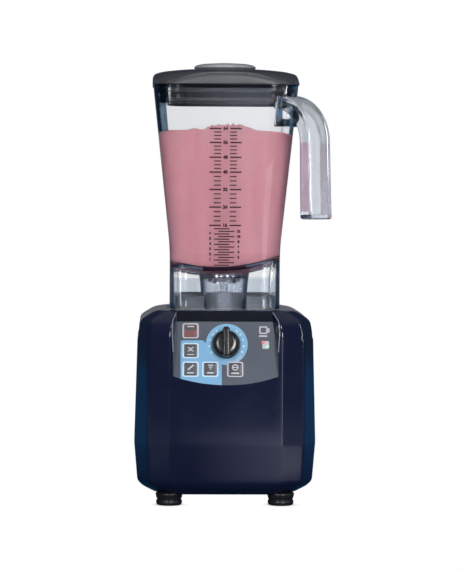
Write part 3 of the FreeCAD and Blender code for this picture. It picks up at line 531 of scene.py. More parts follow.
# the side of the grip that faces the drink: a pink tint that paints the drink's reflection
m_rose_painted_reflection = Mat("jar_clear_grip_side_painted_reflection")
m_rose_painted_reflection.set(Transmission_Weight=1.0, IOR=1.52, Specular_IOR_Level=0.5)
_r1 = m_rose_painted_reflection.noise(22.0, 3.0, 0.6, stretch=(1, 1, 0.2))
m_rose_painted_reflection.color(m_rose_painted_reflection.ramp(_r1, [(0.3, (0.36, 0.20, 0.28)), (0.7, (0.54, 0.33, 0.43))]))
m_rose_painted_reflection.rough(m_rose_painted_reflection.map(_r1, 0.3, 0.7, 0.05, 0.18))

# the outer face and the foot of the grip: grey and partly opaque in blotches, a painted sheen of light and dark
# reflections
m_grip_painted_sheen = Mat("jar_clear_grip_outer_painted_sheen")
m_grip_painted_sheen.set(IOR=1.52, Specular_IOR_Level=0.5)
_g1 = m_grip_painted_sheen.noise(42.0, 3.0, 0.6, stretch=(1, 1, 0.20), distortion=0.6)
m_grip_painted_sheen.link(m_grip_painted_sheen.map(_g1, 0.32, 0.68, 0.58, 0.88), m_grip_painted_sheen.p.inputs["Transmission Weight"])
m_grip_painted_sheen.color(m_grip_painted_sheen.ramp(_g1, [(0.28, (0.40, 0.43, 0.48)), (0.5, (0.56, 0.58, 0.61)), (0.72, (0.68, 0.69, 0.71))]))
m_grip_painted_sheen.rough(m_grip_painted_sheen.map(_g1, 0.3, 0.7, 0.10, 0.20))

# the front left corner above the drink: a dark blue tint that paints the dark refraction through the thick wall
m_corner_painted_shade = Mat("jar_clear_corner_painted_shade")
m_corner_painted_shade.set(Transmission_Weight=1.0, IOR=1.52, Specular_IOR_Level=0.5)
_k1 = m_corner_painted_shade.noise(26.0, 3.0, 0.6, stretch=(1, 1, 0.3))
m_corner_painted_shade.color(m_corner_painted_shade.ramp(_k1, [(0.3, (0.016, 0.040, 0.080)), (0.7, (0.045, 0.085, 0.135))]))
m_corner_painted_shade.rough(m_corner_painted_shade.map(_k1, 0.3, 0.7, 0.02, 0.10))

# the skirt below the floor: a grey-blue tint with upright bands that paints shade and reflected streaks, over upright
# flow marks as bumps
m_skirt_painted_streaks = Mat("jar_clear_skirt_painted_streaks")
m_skirt_painted_streaks.set(Transmission_Weight=1.0, IOR=1.52, Specular_IOR_Level=0.5)
_t1 = m_skirt_painted_streaks.noise(70.0, 3.0, 0.6, stretch=(1, 1, 0.12), distortion=0.3)
m_skirt_painted_streaks.color(m_skirt_painted_streaks.ramp(_t1, [(0.32, (0.56, 0.61, 0.69)), (0.68, (0.74, 0.79, 0.86))]))
m_skirt_painted_streaks.rough(m_skirt_painted_streaks.map(_t1, 0.3, 0.7, 0.02, 0.09))
m_skirt_painted_streaks.normal(m_skirt_painted_streaks.bump(_t1, 0.12, 0.0006))

# translucent grey cap
m_cap = Mat("cap_grey")
m_cap.color(m_cap.ramp(m_cap.noise(12.0, 3.0), [(0.3, (0.20, 0.205, 0.215)), (0.7, (0.25, 0.255, 0.265))]))
m_cap.rough(m_cap.map(m_cap.noise(50.0, 4.0), 0.3, 0.7, 0.16, 0.28))
m_cap.set(Transmission_Weight=0.35, IOR=1.45, Coat_Weight=0.2)
m_cap.normal(m_cap.bump(m_cap.noise(500.0, 2.0), 0.05, 0.0001))

# milkshake
m_milk = Mat("milkshake_pink")
_f = m_milk.noise(55.0, 5.0, 0.6)
_v = m_milk.noise(9.0, 2.0, 0.5, stretch=(1, 1, 0.3))
_c = m_milk.mix(m_milk.map(_v, 0.3, 0.7, 0, 1), (0.605, 0.265, 0.302), (0.680, 0.325, 0.362))
m_milk.color(m_milk.mix(m_milk.map(_f, 0.35, 0.75, 0.0, 0.25), _c, (0.70, 0.40, 0.43)))
m_milk.rough(m_milk.map(_f, 0.3, 0.7, 0.42, 0.6))
m_milk.normal(m_milk.bump(m_milk.noise(90.0, 3.0, 0.5), 0.10, 0.0003))
m_milk.set(Subsurface_Weight=0.15, Subsurface_Radius=(0.004, 0.002, 0.002), Subsurface_Scale=1.0, Specular_IOR_Level=0.3)

# ------------------------------------------------------------------ motor base: housing
HOUSE = [  # z, side half-width, front half-depth, XF, XC, rounding
    (11.9, 73.0, 88.0, 45.0, 61.0, 1.2),
    (18.0, 84.5, 94.5, 52.0, 71.0, 2.6),
    (24.0, 90.2, 98.2, 57.0, 78.5, 4.0),
    (64.0, 93.6, 101.0, 57.5, 80.0, 3.0),
    (178.0, 90.4, 97.4, 57.5, 80.0, 4.0),
    (186.0, 88.9, 95.6, 56.0, 77.5, 4.0),
    (190.8, 85.8, 92.2, 54.0, 74.5, 4.0),
    (198.6, 73.0, 83.2, 46.0, 63.0, 4.5),
    (200.0, 64.5, 79.0, 41.0, 56.0, 0.0),
]


def house_levels():
    """Rounds the corners of the vertical profile and keeps extra levels where the ridge runs."""
    pts = HOUSE
    out = []
    for i, p in enumerate(pts):
        v = np.array(p[:5])
        if i in (0, len(pts) - 1) or p[5] <= 0:
            out.append(v)
            continue
        a, b = np.array(pts[i - 1][:5]), np.array(pts[i + 1][:5])
        la, lb = np.linalg.norm((a - v)[:3]), np.linalg.norm((b - v)[:3])
        d = min(p[5], la * 0.48, lb * 0.48)
        A, B = v + (a - v) * d / la, v + (b - v) * d / lb
        for k in range(6):
            t = k / 5.0
            out.append((1 - t) ** 2 * A + 2 * t * (1 - t) * v + t * t * B)
    # fill long gaps
    full = [out[0]]
    for q in out[1:]:
        p = full[-1]
        dz = q[0] - p[0]
        if p[0] > 60 and q[0] < 186 and dz > 30:
            zs = [80, 100, 120, 140, 155, 162] + [165 + 0.8 * k for k in range(21)]
            for z in zs:
                if p[0] + 0.4 < z < q[0] - 0.4:
                    full.append(p + (q - p) * (z - p[0]) / dz)
        elif dz > 12:
            m = int(dz // 8)
            for k in range(1, m):
                full.append(p + (q - p) * k / m)
        full.append(q)
    return full


T1, T2 = math.radians(19.6), math.radians(64.7)


def house_ring(z, S, F, xf, xc, offset=0.0):
    y1 = F - (xc - xf) * math.tan(T1)
    y2 = y1 - (S - xc) * math.tan(T2)
    q = [(xf, F, 2.6), (xc, y1, 8.0), (S, y2, 7.0)]
    pts = [(x, -y, r) for x, y, r in q] + [(x, y, r) for x, y, r in reversed(q)]
    pts += [(-x, y, r) for x, y, r in q] + [(-x, -y, r) for x, y, r in reversed(q)]
    # pts runs front right, rear right, rear left, front left: counter-clockwise from above
    ring = fillet_profile(pts, True, 6)
    # subdivide the straight stretches
    res = []
    n = len(ring)
    for i in range(n):
        a, b = Vector(ring[i]), Vector(ring[(i + 1) % n])
        res.append((a.x, a.y))
        if i % 7 == 6:
            m = {0: 4, 1: 6, 2: 8, 3: 6, 4: 4, 5: 10, 6: 4, 7: 6, 8: 8, 9: 6, 10: 4, 11: 10}[i // 7]
            for k in range(1, m):
                c = a.lerp(b, k / m)
                res.append((c.x, c.y))
    return res


def ridge_height(x, y):
    """Height of the step line on the facets."""
    ax = abs(x)
    t = min(max((ax - 57.0) / 23.0, 0.0), 1.0)
    return 180.5 - 9.0 * t


def housing():
    rings = []
    for z, S, F, xf, xc in house_levels():
        base = house_ring(z, S, F, xf, xc)
        ring = []
        n = len(base)
        ins = inset_outline(base, 0.9)
        for i, (x, y) in enumerate(base):
            zb = ridge_height(x, y)
            w = min(max((z - zb + 1.6) / 3.2, 0.0), 1.0)
            w = w * w * (3 - 2 * w)
            fade = min(max((188.5 - z) / 5.0, 0.0), 1.0)
            k = w * fade
            q = ins[i]
            ring.append((x + (q[0] - x) * k, y + (q[1] - y) * k, z))
        rings.append(ring)
    # close the deck towards its middle with inset rings so the top stays smooth
    top = rings[-1]
    cx = [(x * 0.93, y * 0.93, 200.0) for x, y, z in top]
    rings.append(cx)
    v, f = rings_mesh(rings)
    ob = add("housing_shell", v, f, m_house.m)
    return ob


def ring_between(w0, w1, f):
    return w0 + (w1 - w0) * f


def smooth(t):
    t = min(max(t, 0.0), 1.0)
    return t * t * (3 - 2 * t)


def recess_cutter():
    """Pocket for the panel; its side walls lean over the plate, more towards the top, on an S-shaped line."""
    ys = [-4 + 2.0 * k for k in range(0, 56)]
    zs = [-0.02, 1.0, 3.0, 6.0, 9.0, 12.0, 15.0, 18.0, 34.0]
    secs = []
    for y in ys:
        f = y / 78.0
        lowR, lowL = 54.2, -54.2
        hiR, hiL = 47.2, -50.6
        s = smooth((y - 2) / 40.0) * 0.45 + smooth((y - 40.0) / 34.0) * 0.55
        aR, aL = lowR + (hiR - lowR) * s, lowL + (hiL - lowL) * s
        bR = 55.2 + 2.0 * smooth(f)
        right, left = [], []
        for z in zs:
            t = min(z / 16.0, 1.4)
            tt = t if t > 1 else max(t, 0.0) ** 1.25
            right.append((aR + (bR - aR) * tt, y, z))
            left.append((aL + (-bR - aL) * tt, y, z))
        secs.append(right + list(reversed(left)))
    v, f = rings_mesh(secs)
    cut = add("cut", v, f, None, True, 32.0, PANEL)
    # limit by the arc: intersect with an upright slab whose lower edge is the arc
    arc = [(-70 + 140.0 * k / 48, ARC_R - math.sqrt(ARC_R**2 - (-70 + 140.0 * k / 48) ** 2)) for k in range(49)]
    outline = arc + [(70, 120), (-70, 120)]
    slab = extrude("slab", outline, -0.5, 60.0, None, PANEL)
    boolean(cut, slab, "INTERSECT")
    arc2 = [(-54 + 108.0 * k / 40, ARC_R - math.sqrt(ARC_R**2 - (-54 + 108.0 * k / 40) ** 2)) for k in range(41)]
    pocket = extrude("pocket", arc2 + [(54, 100), (-54, 100)], -3.1, 0.0, None, PANEL)
    return cut, pocket


def rsq_pts(a, r, n_side=1, n_arc=8):
    """Rounded square, counter-clockwise, starting on the front side."""
    out = []
    for i in range(4):
        c, s = [(1, 0), (0, 1), (-1, 0), (0, -1)][i]
        loc = []
        for k in range(n_side):
            loc.append((-(a - r) + 2 * (a - r) * k / n_side, -a))
        for k in range(n_arc):
            t = -math.pi / 2 + (math.pi / 2) * k / n_arc
            loc.append((a - r + r * math.cos(t), -(a - r) + r * math.sin(t)))
        out += [(x * c - y * s, x * s + y * c) for x, y in loc]
    return out


def boxm(x0, x1, y0, y1, z0, z1, name="bx"):
    v = [(x0, y0, z0), (x1, y0, z0), (x1, y1, z0), (x0, y1, z0), (x0, y0, z1), (x1, y0, z1), (x1, y1, z1), (x0, y1, z1)]
    f = [(3, 2, 1, 0), (4, 5, 6, 7), (0, 1, 5, 4), (1, 2, 6, 5), (2, 3, 7, 6), (3, 0, 4, 7)]
    return add(name, v, f, None, False)


house = housing()
cut, pocket = recess_cutter()
boolean(house, cut)
boolean(house, pocket)
v, f = rings_mesh([[(x, y, z) for x, y in rsq_pts(61.0, 23.0, 1, 10)] for z in (197.0, 206.0)])
boolean(house, add("seat", v, f))
boolean(house, lathe("hole", [(0, 185), (16, 185), (16, 206), (0, 206)], n=48))
# hollow inside
v, f = rings_mesh([[(x, y, z) for x, y in house_ring(z, S, F, xf, xc)] for z, S, F, xf, xc in ((10.0, 69.4, 84.4, 43.0, 58.0), (17.0, 69.4, 84.4, 43.0, 58.0), (24.0, 84.0, 93.0, 52.0, 72.0), (64.0, 89.6, 97.0, 55.0, 77.0), (112.0, 88.4, 95.6, 55.0, 77.0))])
inner = add("inner", v, f)
boolean(house, inner)
boolean(house, boxm(-80, 80, -64, 88, 100, 193))
# louvres with rounded ends, rear pockets
for k in range(7):
    z = 84 + k * 11 + 2.25
    sl = [(x, y) for x, y in rrect(0, 0, 84, 4.5, 2.2, 5)]
    v, f = rings_mesh([[(x, 80.0, z + y) for x, y in sl], [(x, 120.0, z + y) for x, y in sl]])
    boolean(house, add("lv", v, f))
for (x0, x1, z0, z1) in ((20.0, 74.0, 30.0, 62.0), (-58.0, -30.0, 34.0, 58.0)):
    rr = rrect((x0 + x1) / 2, (z0 + z1) / 2, x1 - x0, z1 - z0, 3.0, 5)
    v, f = rings_mesh([[(x, 96.0, z) for x, z in rr], [(x, 120.0, z) for x, z in rr]])
    boolean(house, add("pk", v, f))
boolean(house, boxm(34.5, 61.5, 80, 110, 35.8, 56.2))
boolean(house, lathe("rb", [(0, -20), (6.05, -20), (6.05, 20), (0, 20)], n=40, place=Matrix.Translation((-44, 96, 46)) @ Matrix.Rotation(math.pi / 2, 4, "X")))
tidy(house, 24.0)


def recess_arris_painted_highlight():
    """The rounded edge of the recess, along the deck and down both sides, as a thin bead on the shell's own edge; the
    bead's lighter material paints the highlight the edge catches.
    """
    bm = bmesh.new()
    bm.from_mesh(house.data)
    nrm = PANEL.to_3x3() @ Vector((0, 0, 1))
    keep = []
    for e in bm.edges:
        if len(e.link_faces) != 2 or e.calc_face_angle(0) < math.radians(28):
            continue
        ok = True
        for vv in e.verts:
            c = vv.co / MM
            zp = (c - P0).dot(nrm)
            if abs(c.x) > 60 or c.y > -74 or c.z < 158 or c.z > 200.4 or (zp < 2.0 and c.z < 199.2) or (c.z > 199.2 and c.y > -77.5):
                ok = False
        if ok:
            keep.append([tuple(vv.co) for vv in e.verts])
    bm.free()
    verts, edges, index = [], [], {}
    for a, b in keep:
        ids = []
        for q in (a, b):
            k = tuple(round(t, 6) for t in q)
            if k not in index:
                index[k] = len(verts)
                verts.append(q)
            ids.append(index[k])
        if ids[0] != ids[1]:
            edges.append(tuple(ids))
    me = bpy.data.meshes.new("arris")
    me.from_pydata(verts, edges, [])
    ob = bpy.data.objects.new("arris", me)
    bpy.context.scene.collection.objects.link(ob)
    for o in bpy.context.selected_objects:
        o.select_set(False)
    ob.select_set(True)
    bpy.context.view_layer.objects.active = ob
    bpy.ops.object.convert(target="CURVE")
    ob = bpy.context.view_layer.objects.active
    ob.data.bevel_depth = 0.62 * MM
    ob.data.bevel_resolution = 3
    ob.data.use_fill_caps = True
    bpy.ops.object.convert(target="MESH")
    ob = bpy.context.view_layer.objects.active
    ob.name = ob.data.name = "recess_arris_painted_highlight"
    ob.data.materials.clear()
    ob.data.materials.append(m_arris_painted_highlight.m)
    shade(ob, True, 60.0)
    print("arris", len(keep), "edges", [tuple(round(float(t), 1) for t in (Vector(q) / MM)) for q in (verts[0], verts[-1])] if verts else None)
    return ob


arris = recess_arris_painted_highlight()
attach(arris, "base")
house.name = "housing_shell"
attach(house, "base")
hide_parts("base_housing")

# ------------------------------------------------------------------ feet
foot_prof = [(0, 6.0), (4.4, 6.0), (5.2, 5.2), (5.2, 0.4), (5.8, 0.0), (11.4, 0.0), (12.5, 0.4), (13.1, 1.3), (13.3, 2.6), (13.3, 4.4), (12.9, 5.2), (12.3, 5.6), (12.3, 6.6), (12.9, 7.0), (13.2, 7.8), (13.3, 8.8), (13.6, 9.8), (13.9, 10.8), (13.9, 11.9), (13.5, 12.6), (12.6, 13.0), (0, 13.0)]
feet = [lathe("ft", foot_prof, m_foot.m, 72, x, y, 40.0) for x in (-57.4, 57.4) for y in (-75.0, 75.0)]
feet = join("feet_moulded", feet)
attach(feet, "base")
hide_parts("rubber_feet")

# ------------------------------------------------------------------ printed film, keys and dial on the panel
def on_film(name, outline, z0, z1, mat, hole=None):
    """Thin printed area on the panel; hole is an inner outline with the same number of points."""
    if hole is None:
        return extrude(name, outline, z0, z1, mat.m, PANEL)
    n = len(outline)
    rings = [[(x, y, z0) for x, y in hole], [(x, y, z0) for x, y in outline], [(x, y, z1) for x, y in outline], [(x, y, z1) for x, y in hole]]
    v, f = rings_mesh(rings, loop=True)
    return add(name, v, f, mat.m, True, 32.0, PANEL)


def arc_y(x):
    return ARC_R - math.sqrt(ARC_R**2 - x * x)


prints = []
# blue field on the left, running into the ring round the dial
zx0, zx1 = -46.4, -4.4
low = [(zx0 + (zx1 - zx0) * k / 20.0, arc_y(zx0 + (zx1 - zx0) * k / 20.0) + 0.25) for k in range(21)]
ring_c = (0.8, KNOB_Y + 0.2)
R_ring = 21.4
up = [(zx1, 27.0), (-12.0, 30.0), (-17.5, 36.0), (-20.6, 44.0), (-24.0, 46.6), (zx0 + 2.5, 46.6), (zx0 + 0.7, 45.9), (zx0, 44.0)]
prints.append(on_film("pf", low + up, 0.005, 0.035, m_blue))
prints.append(on_film("pf", circle(ring_c[0], ring_c[1], R_ring, 96), 0.035, 0.055, m_blue2, circle(0, KNOB_Y, 12.0, 96)))
# graduation dots round the dial
dots = []
for a in (-118, -96, -74, -54, -36, 36, 54, 74, 96, 116):
    t = math.radians(90 - a)
    r = 17.4
    dots.append(on_film("pd", circle(0.6 + r * math.cos(t), KNOB_Y + 0.2 + r * math.sin(t), 0.95 if abs(a) != 96 else 1.15, 20), 0.055, 0.075, m_white))
for a, s in ((134, 1.5), (146, 1.9)):
    t = math.radians(90 - a)
    x, y = 0.8 + 19.0 * math.cos(t), KNOB_Y + 19.0 * math.sin(t)
    tri = [(x - s, y - s), (x + s, y - 0.3 * s), (x + 0.2 * s, y + s)]
    dots.append(on_film("pd", tri, 0.055, 0.075, m_pale))
prints += dots
# frames round the keys
KW = 16.6
for n, (x, y) in KEYS.items():
    mat = m_pale if n in ("key_pulse", "key_stop") else m_white
    prints.append(on_film("pk", rrect(x, y, KW, KW - 0.8, 2.4, 8), 0.04, 0.09, mat, rrect(x, y, 13.6, 13.2, 1.4, 8)))
# small picture of a jar on its base, top right
jx, jy = 38.6, 56.8
prints.append(on_film("pj", rrect(jx - 0.4, jy + 0.6, 8.4, 8.0, 1.2, 6), 0.005, 0.04, m_pale, rrect(jx - 0.4, jy + 0.6, 5.6, 5.4, 0.8, 6)))
prints.append(on_film("pj", rrect(jx + 4.2, jy + 0.4, 3.8, 4.6, 1.0, 6), 0.005, 0.04, m_pale))
prints.append(on_film("pj", rrect(jx - 0.6, jy - 5.6, 8.6, 1.7, 0.6, 6), 0.005, 0.04, m_pale))
prints = join("panel_print", prints)
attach(prints, "base")

# lamps: round lenses in thin bezels
lamps = []
for (x, y), mat in zip(LEDS, (m_led_red, m_led_green)):
    dome = [(0, 0.9), (0.7, 0.82), (1.2, 0.55), (1.6, 0.1), (1.6, -3.0), (0, -3.0)]
    lamps.append(lathe("lm", dome, mat.m, 32, place=PANEL @ Matrix.Translation((x, y, 0))))
lamps.append(extrude("lm", rrect(40.6, 42.0, 7.0, 8.2, 1.6, 6), 0.005, 0.05, m_pale.m, PANEL))
lamps = join("status_lenses", lamps)
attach(lamps, "base")
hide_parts("status_lights")


def key_icon(kind, x, y, z):
    parts = []
    def bar(x0, y0, x1, y1, w):
        d = Vector((x1 - x0, y1 - y0))
        L = d.length
        d.normalize()
        nx, ny = -d.y * w / 2, d.x * w / 2
        o = [(x0 + nx, y0 + ny), (x0 - nx, y0 - ny), (x1 - nx, y1 - ny), (x1 + nx, y1 + ny)]
        parts.append(extrude("ic", [(x + a, y + b) for a, b in o], z, z + 0.05, m_icon.m, PANEL))
    def ring(cx, cy, r, w, n=28):
        o = circle(x + cx, y + cy, r, n)
        i = circle(x + cx, y + cy, r - w, n)
        v, f = rings_mesh([[(a, b, z) for a, b in i], [(a, b, z) for a, b in o], [(a, b, z + 0.05) for a, b in o], [(a, b, z + 0.05) for a, b in i]], loop=True)
        parts.append(add("ic", v, f, m_icon.m, True, 32.0, PANEL))
    if kind == "key_stop":
        bar(-3.6, 4.3, 3.6, 4.3, 1.1)
    elif kind == "key_mix":
        bar(-2.8, 3.6, 2.8, -1.0, 0.9); bar(-2.8, -1.0, 2.8, 3.6, 0.9); ring(0, 1.3, 1.7, 0.8); bar(-3.4, -4.2, 3.4, -4.2, 0.9)
    elif kind == "key_program_1":
        bar(-2.8, -0.8, 3.0, 4.2, 1.5); bar(-3.6, -3.9, 3.2, -3.9, 1.3)
    elif kind == "key_program_2":
        bar(-2.4, 4.1, 3.0, 4.1, 1.0); bar(-1.5, 2.1, 2.0, 2.1, 1.0); bar(-0.7, 0.1, 1.1, 0.1, 1.0); bar(-3.4, -3.8, 3.4, -3.8, 1.5)
    else:
        ring(0, 1.8, 3.3, 1.0); bar(-2.2, 1.8, 2.2, 1.8, 0.9); bar(-4.0, -4.2, 4.0, -4.2, 1.5)
    return join("icon", parts)


for n, (x, y) in KEYS.items():
    face = m_keyred if n == "key_stop" else m_key
    o = rrect(x, y, 13.4, 13.0, 1.3, 6)
    pieces = []
    rings = [[(a, b, -3.2) for a, b in o], [(a, b, 0.22) for a, b in o]]
    for d, h in ((0.12, 0.40), (0.35, 0.52), (0.8, 0.60), (2.2, 0.66), (4.2, 0.70)):
        rings.append([(a, b, h) for a, b in inset_outline(o, min(d, 1.2)) ] if d <= 1.2 else [(x + (a - x) * (1 - d / 6.6), y + (b - y) * (1 - d / 6.4), h) for a, b in o])
    v, f = rings_mesh(rings)
    body = add("kb", v, f, face.m, True, 50.0, PANEL)
    icon = key_icon(n, x, y, 0.72)
    if n == "key_stop":
        pieces.append(extrude("sk", rrect(x, y + 3.3, 11.6, 5.4, 0.8, 5), 0.40, 0.735, m_key.m, PANEL))
    k = join(n + "_cap", [body, icon] + pieces)
    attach(k, n)
    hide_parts(n)


def dial():
    prof = [(0, 1.0), (14.4, 1.0), (14.8, 1.4), (14.8, 3.2), (14.4, 4.2), (14.1, 6.6), (13.4, 8.8), (11.9, 10.6), (9.9, 11.6), (7.6, 12.0), (0, 12.0)]
    prof = fillet_profile([(r, z, 0.8) for r, z in prof], False, 3)
    n = 120
    verts, faces, idx = [], [], []
    for r, z in prof:
        if r < 1e-6:
            verts.append((0, KNOB_Y, z)); idx.append([len(verts) - 1]); continue
        b = len(verts)
        for k in range(n):
            a = 2 * math.pi * k / n
            flute = 0.0
            if 3.4 < z < 10.8 and r > 11.4:
                flute = 0.32 * (0.5 - 0.5 * math.cos(a * 30)) * smooth((z - 3.4) / 1.5) * smooth((10.8 - z) / 2.0)
            verts.append(((r - flute) * math.cos(a), KNOB_Y + (r - flute) * math.sin(a), z))
        idx.append(list(range(b, b + n)))
    for A, B in zip(idx, idx[1:]):
        for k in range(n):
            k2 = (k + 1) % n
            if len(A) == 1 and len(B) == 1:
                break
            if len(A) == 1:
                faces.append((A[0], B[k2], B[k]))
            elif len(B) == 1:
                faces.append((A[k], A[k2], B[0]))
            else:
                faces.append((A[k], A[k2], B[k2], B[k]))
    body = add("kn", verts, faces, m_knob.m, True, 40.0, PANEL)
    o = rrect(0, KNOB_Y + 0.9, 8.6, 30.6, 3.2, 8)
    rings = [[(a, b, 2.0) for a, b in o]]
    for k in range(6):
        t = math.pi / 2 * k / 5
        rings.append([(a, b, 14.4 + 2.0 * math.sin(t)) for a, b in inset_outline(o, 1.9 * (1 - math.cos(t)))])
    v, f = rings_mesh(rings)
    # the grip tapers towards the front
    v2 = []
    for (a, b, z) in v:
        s = 1.0 - 0.16 * smooth((z - 2.0) / 14.0)
        v2.append((a * s, b, z))
    bar = add("kb", v2, f, m_knob.m, True, 40.0, PANEL)
    boolean(body, bar, "UNION")
    tidy(body, 38.0)
    body.name = body.data.name = "dial_knob_shape"
    return body


kn = dial()
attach(kn, "dial")
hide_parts("dial_knob")

# ------------------------------------------------------------------ jar
NS, NA = 30, 14          # points on each straight side and each corner of a jar ring
SLOPE = (75.0 - 57.0) / (432.0 - 262.0)


def jar_ar(z):
    if z <= 262:
        return 57.0, 20.0
    return 57.0 + (z - 262) * SLOPE, 20.0 + (z - 262) * 10 / 170.0


def soft_ar(z):
    """The wall line with the bend at 262 rounded off."""
    a, r = jar_ar(z)
    d = z - 262.0
    w = 14.0
    if abs(d) < w:
        e = (d + w) ** 2 / (4 * w)
        a = 57.0 + e * SLOPE
        r = 20.0 + e * 10 / 170.0
    return a, r


def jring(a, r, z, rib=0.0):
    out = []
    for i, (x, y) in enumerate(rsq_pts(a, r, NS, NA)):
        if rib:
            for sx in (-33.0, 33.0):
                if abs(abs(y) - a) < 1e-6:
                    d = (x - sx) / 4.6
                    k = rib * math.exp(-d * d * 1.6)
                    y -= math.copysign(k, y)
        out.append((x, y, z if not callable(z) else z(x, y)))
    return out


def cring(r, z):
    """A ring of radius r with its points lined up with the rounded-square rings."""
    out = []
    for x, y in rsq_pts(50.0, 24.0, NS, NA):
        L = math.hypot(x, y)
        out.append((x / L * r, y / L * r, z if not callable(z) else z(x / L * r, y / L * r)))
    return out


def mring(t, a, r, rc, z):
    """Between a circle of radius rc (t = 0) and a rounded square (t = 1)."""
    A, B = cring(rc, 0), jring(a, r, 0)
    out = []
    for p, q in zip(A, B):
        x, y = p[0] + (q[0] - p[0]) * t, p[1] + (q[1] - p[1]) * t
        out.append((x, y, z(x, y)))
    return out


def dish(x, y, extra=0.0):
    """The jar's floor, a trough from front to back."""
    R = FLOOR_R + extra
    return FLOOR_Z - math.sqrt(max(R * R - (x - FLOOR_X) ** 2, 0))


def wall_follow(zf):
    """A ring on the outer wall at a height that varies round it."""
    out = []
    for i, (x, y, _) in enumerate(jring(57.0, 20.0, 0)):
        z = zf(x, y)
        a, r = soft_ar(z)
        out.append(jring(a, r, z)[i])
    return out


def jar_body():
    R = []
    # outer wall, bottom to rim
    R.append(jring(55.6, 18.6, 200.0))
    R.append(jring(56.6, 19.6, 200.4))
    R.append(jring(57.0, 20.0, 201.4))
    for z in (206, 214, 224, 232):
        R.append(jring(*soft_ar(z), z))
    low = lambda x, y: dish(x, y, 4.0) + 0.4
    high = lambda x, y: dish(x, y) + 0.9
    for t in (0.4, 0.8):
        R.append(wall_follow(lambda x, y: 232.0 + (low(x, y) - 232.0) * t))
    R.append(wall_follow(low))
    R.append(wall_follow(high))
    for t in (0.2, 0.4, 0.6, 0.8):
        R.append(wall_follow(lambda x, y: high(x, y) + (272.0 - high(x, y)) * t))
    for z in (272, 275, 278) + tuple(range(284, 424, 10)) + (424, 428):
        a, r = soft_ar(z)
        R.append(jring(a, r, z))
    a, r = soft_ar(431.0)
    R.append(jring(a, r, 431.2))
    R.append(jring(a - 0.6, r - 0.6, 431.9))
    R.append(jring(a - 1.75, r - 1.75, RIM))
    R.append(jring(a - 2.9, r - 2.9, 431.9))
    R.append(jring(a - WALL, r - WALL, 431.2))
    # inner wall, rim to floor, ribs from 400 down
    for z in (428, 420, 410, 404, 398, 392, 386) + tuple(range(376, 284, -10)) + tuple(range(280, 262, -3)):
        a, r = soft_ar(z)
        rib = 2.4 * smooth((383.0 - z) / 7.0)
        R.append(jring(a - WALL, r - WALL, z, rib))
    # the floor line follows the dish; the wall rings close in on it
    def wall_low(k, t):
        a, r = 57.0 - WALL, 20.0 - WALL
        base = jring(a, r, 0, 2.4)
        out = []
        for x, y, _ in base:
            zf = dish(x, y) + 3.0
            out.append((x, y, zf + (261.0 - zf) * t))
        return out
    for t in (0.8, 0.5, 0.25, 0.0):
        R.append(wall_low(0, t))
    for ins, up in ((0.6, 1.3), (1.9, 0.35), (3.4, 0.0)):
        a, r = 57.0 - WALL - ins, 20.0 - WALL - ins
        R.append([(x, y, dish(x, y) + up) for x, y, _ in jring(a, r, 0, 2.4 * (1 - ins / 3.4))])
    for t in (0.85, 0.7, 0.55, 0.4, 0.25, 0.1):
        R.append(mring(t, 50.1, 13.1, 24.0, lambda x, y: dish(x, y)))
    R.append(cring(22.7, lambda x, y: dish(x, y) - 0.2))
    R.append(cring(22.1, lambda x, y: dish(x, y) - 0.9))
    R.append(cring(21.9, SEAT_Z))
    R.append(cring(13.6, SEAT_Z))
    R.append(cring(13.0, SEAT_Z - 0.5))
    R.append(cring(13.0, SEAT_Z - 3.8))
    R.append(cring(13.4, SEAT_Z - 4.3))
    R.append(cring(20.6, SEAT_Z - 4.3))
    # inside of the boss, round its edge, and back up
    R.append(cring(21.9, SEAT_Z - 5.2))
    R.append(cring(22.0, SEAT_Z - 7.5))
    for z in (224.0, 218.0, 212.0, 206.0):
        R.append(cring(20.9 + 1.5 * (z - 204) / 39, z))
    R.append(cring(21.5, 204.2))
    R.append(cring(22.2, 204.0))
    R.append(cring(23.0, 204.2))
    R.append(cring(23.6, 205.2))
    for z in (210.0, 216.0, 222.0, 228.0):
        R.append(cring(23.6 + 2.8 * (z - 204.0) / 39.0, z))
    R.append(cring(25.7, lambda x, y: min(dish(x, y, 4.0) - 2.0, 233.2 + 0.0 * x)))
    R.append(cring(26.2, lambda x, y: dish(x, y, 4.0) - 1.4))
    R.append(cring(27.4, lambda x, y: dish(x, y, 4.0) - 0.3))
    for t in (0.1, 0.3, 0.5, 0.7, 0.88):
        R.append(mring(t, 51.5, 14.5, 28.6, lambda x, y: dish(x, y, 4.0)))
    R.append([(x, y, dish(x, y, 4.0) - 0.4) for x, y, _ in jring(51.9, 14.9, 0)])
    R.append([(x, y, dish(x, y, 4.0) - 1.6) for x, y, _ in jring(53.1, 16.1, 0)])
    def skirt(t):
        out = []
        for x, y, _ in jring(53.5, 16.5, 0):
            z1 = dish(x, y, 4.0) - 3.2
            out.append((x, y, 201.4 + (z1 - 201.4) * t))
        return out
    for t in (1.0, 0.75, 0.5, 0.25, 0.0):
        R.append(skirt(t))
    R.append(jring(53.9, 16.9, 200.4))
    R.append(jring(54.6, 17.6, 200.0))
    v, f = rings_mesh(R, loop=True)
    return add("jar_shape", v, f, m_clear.m, True, 40.0)


U_R = Matrix.Rotation(-math.pi / 4, 4, "Z")       # the handle's radial plane: local x is u, local y is across, z up
ARC_U, ARC_Z, R_OUT, R_IN = 85.4, 372.4, 48.6, 34.9


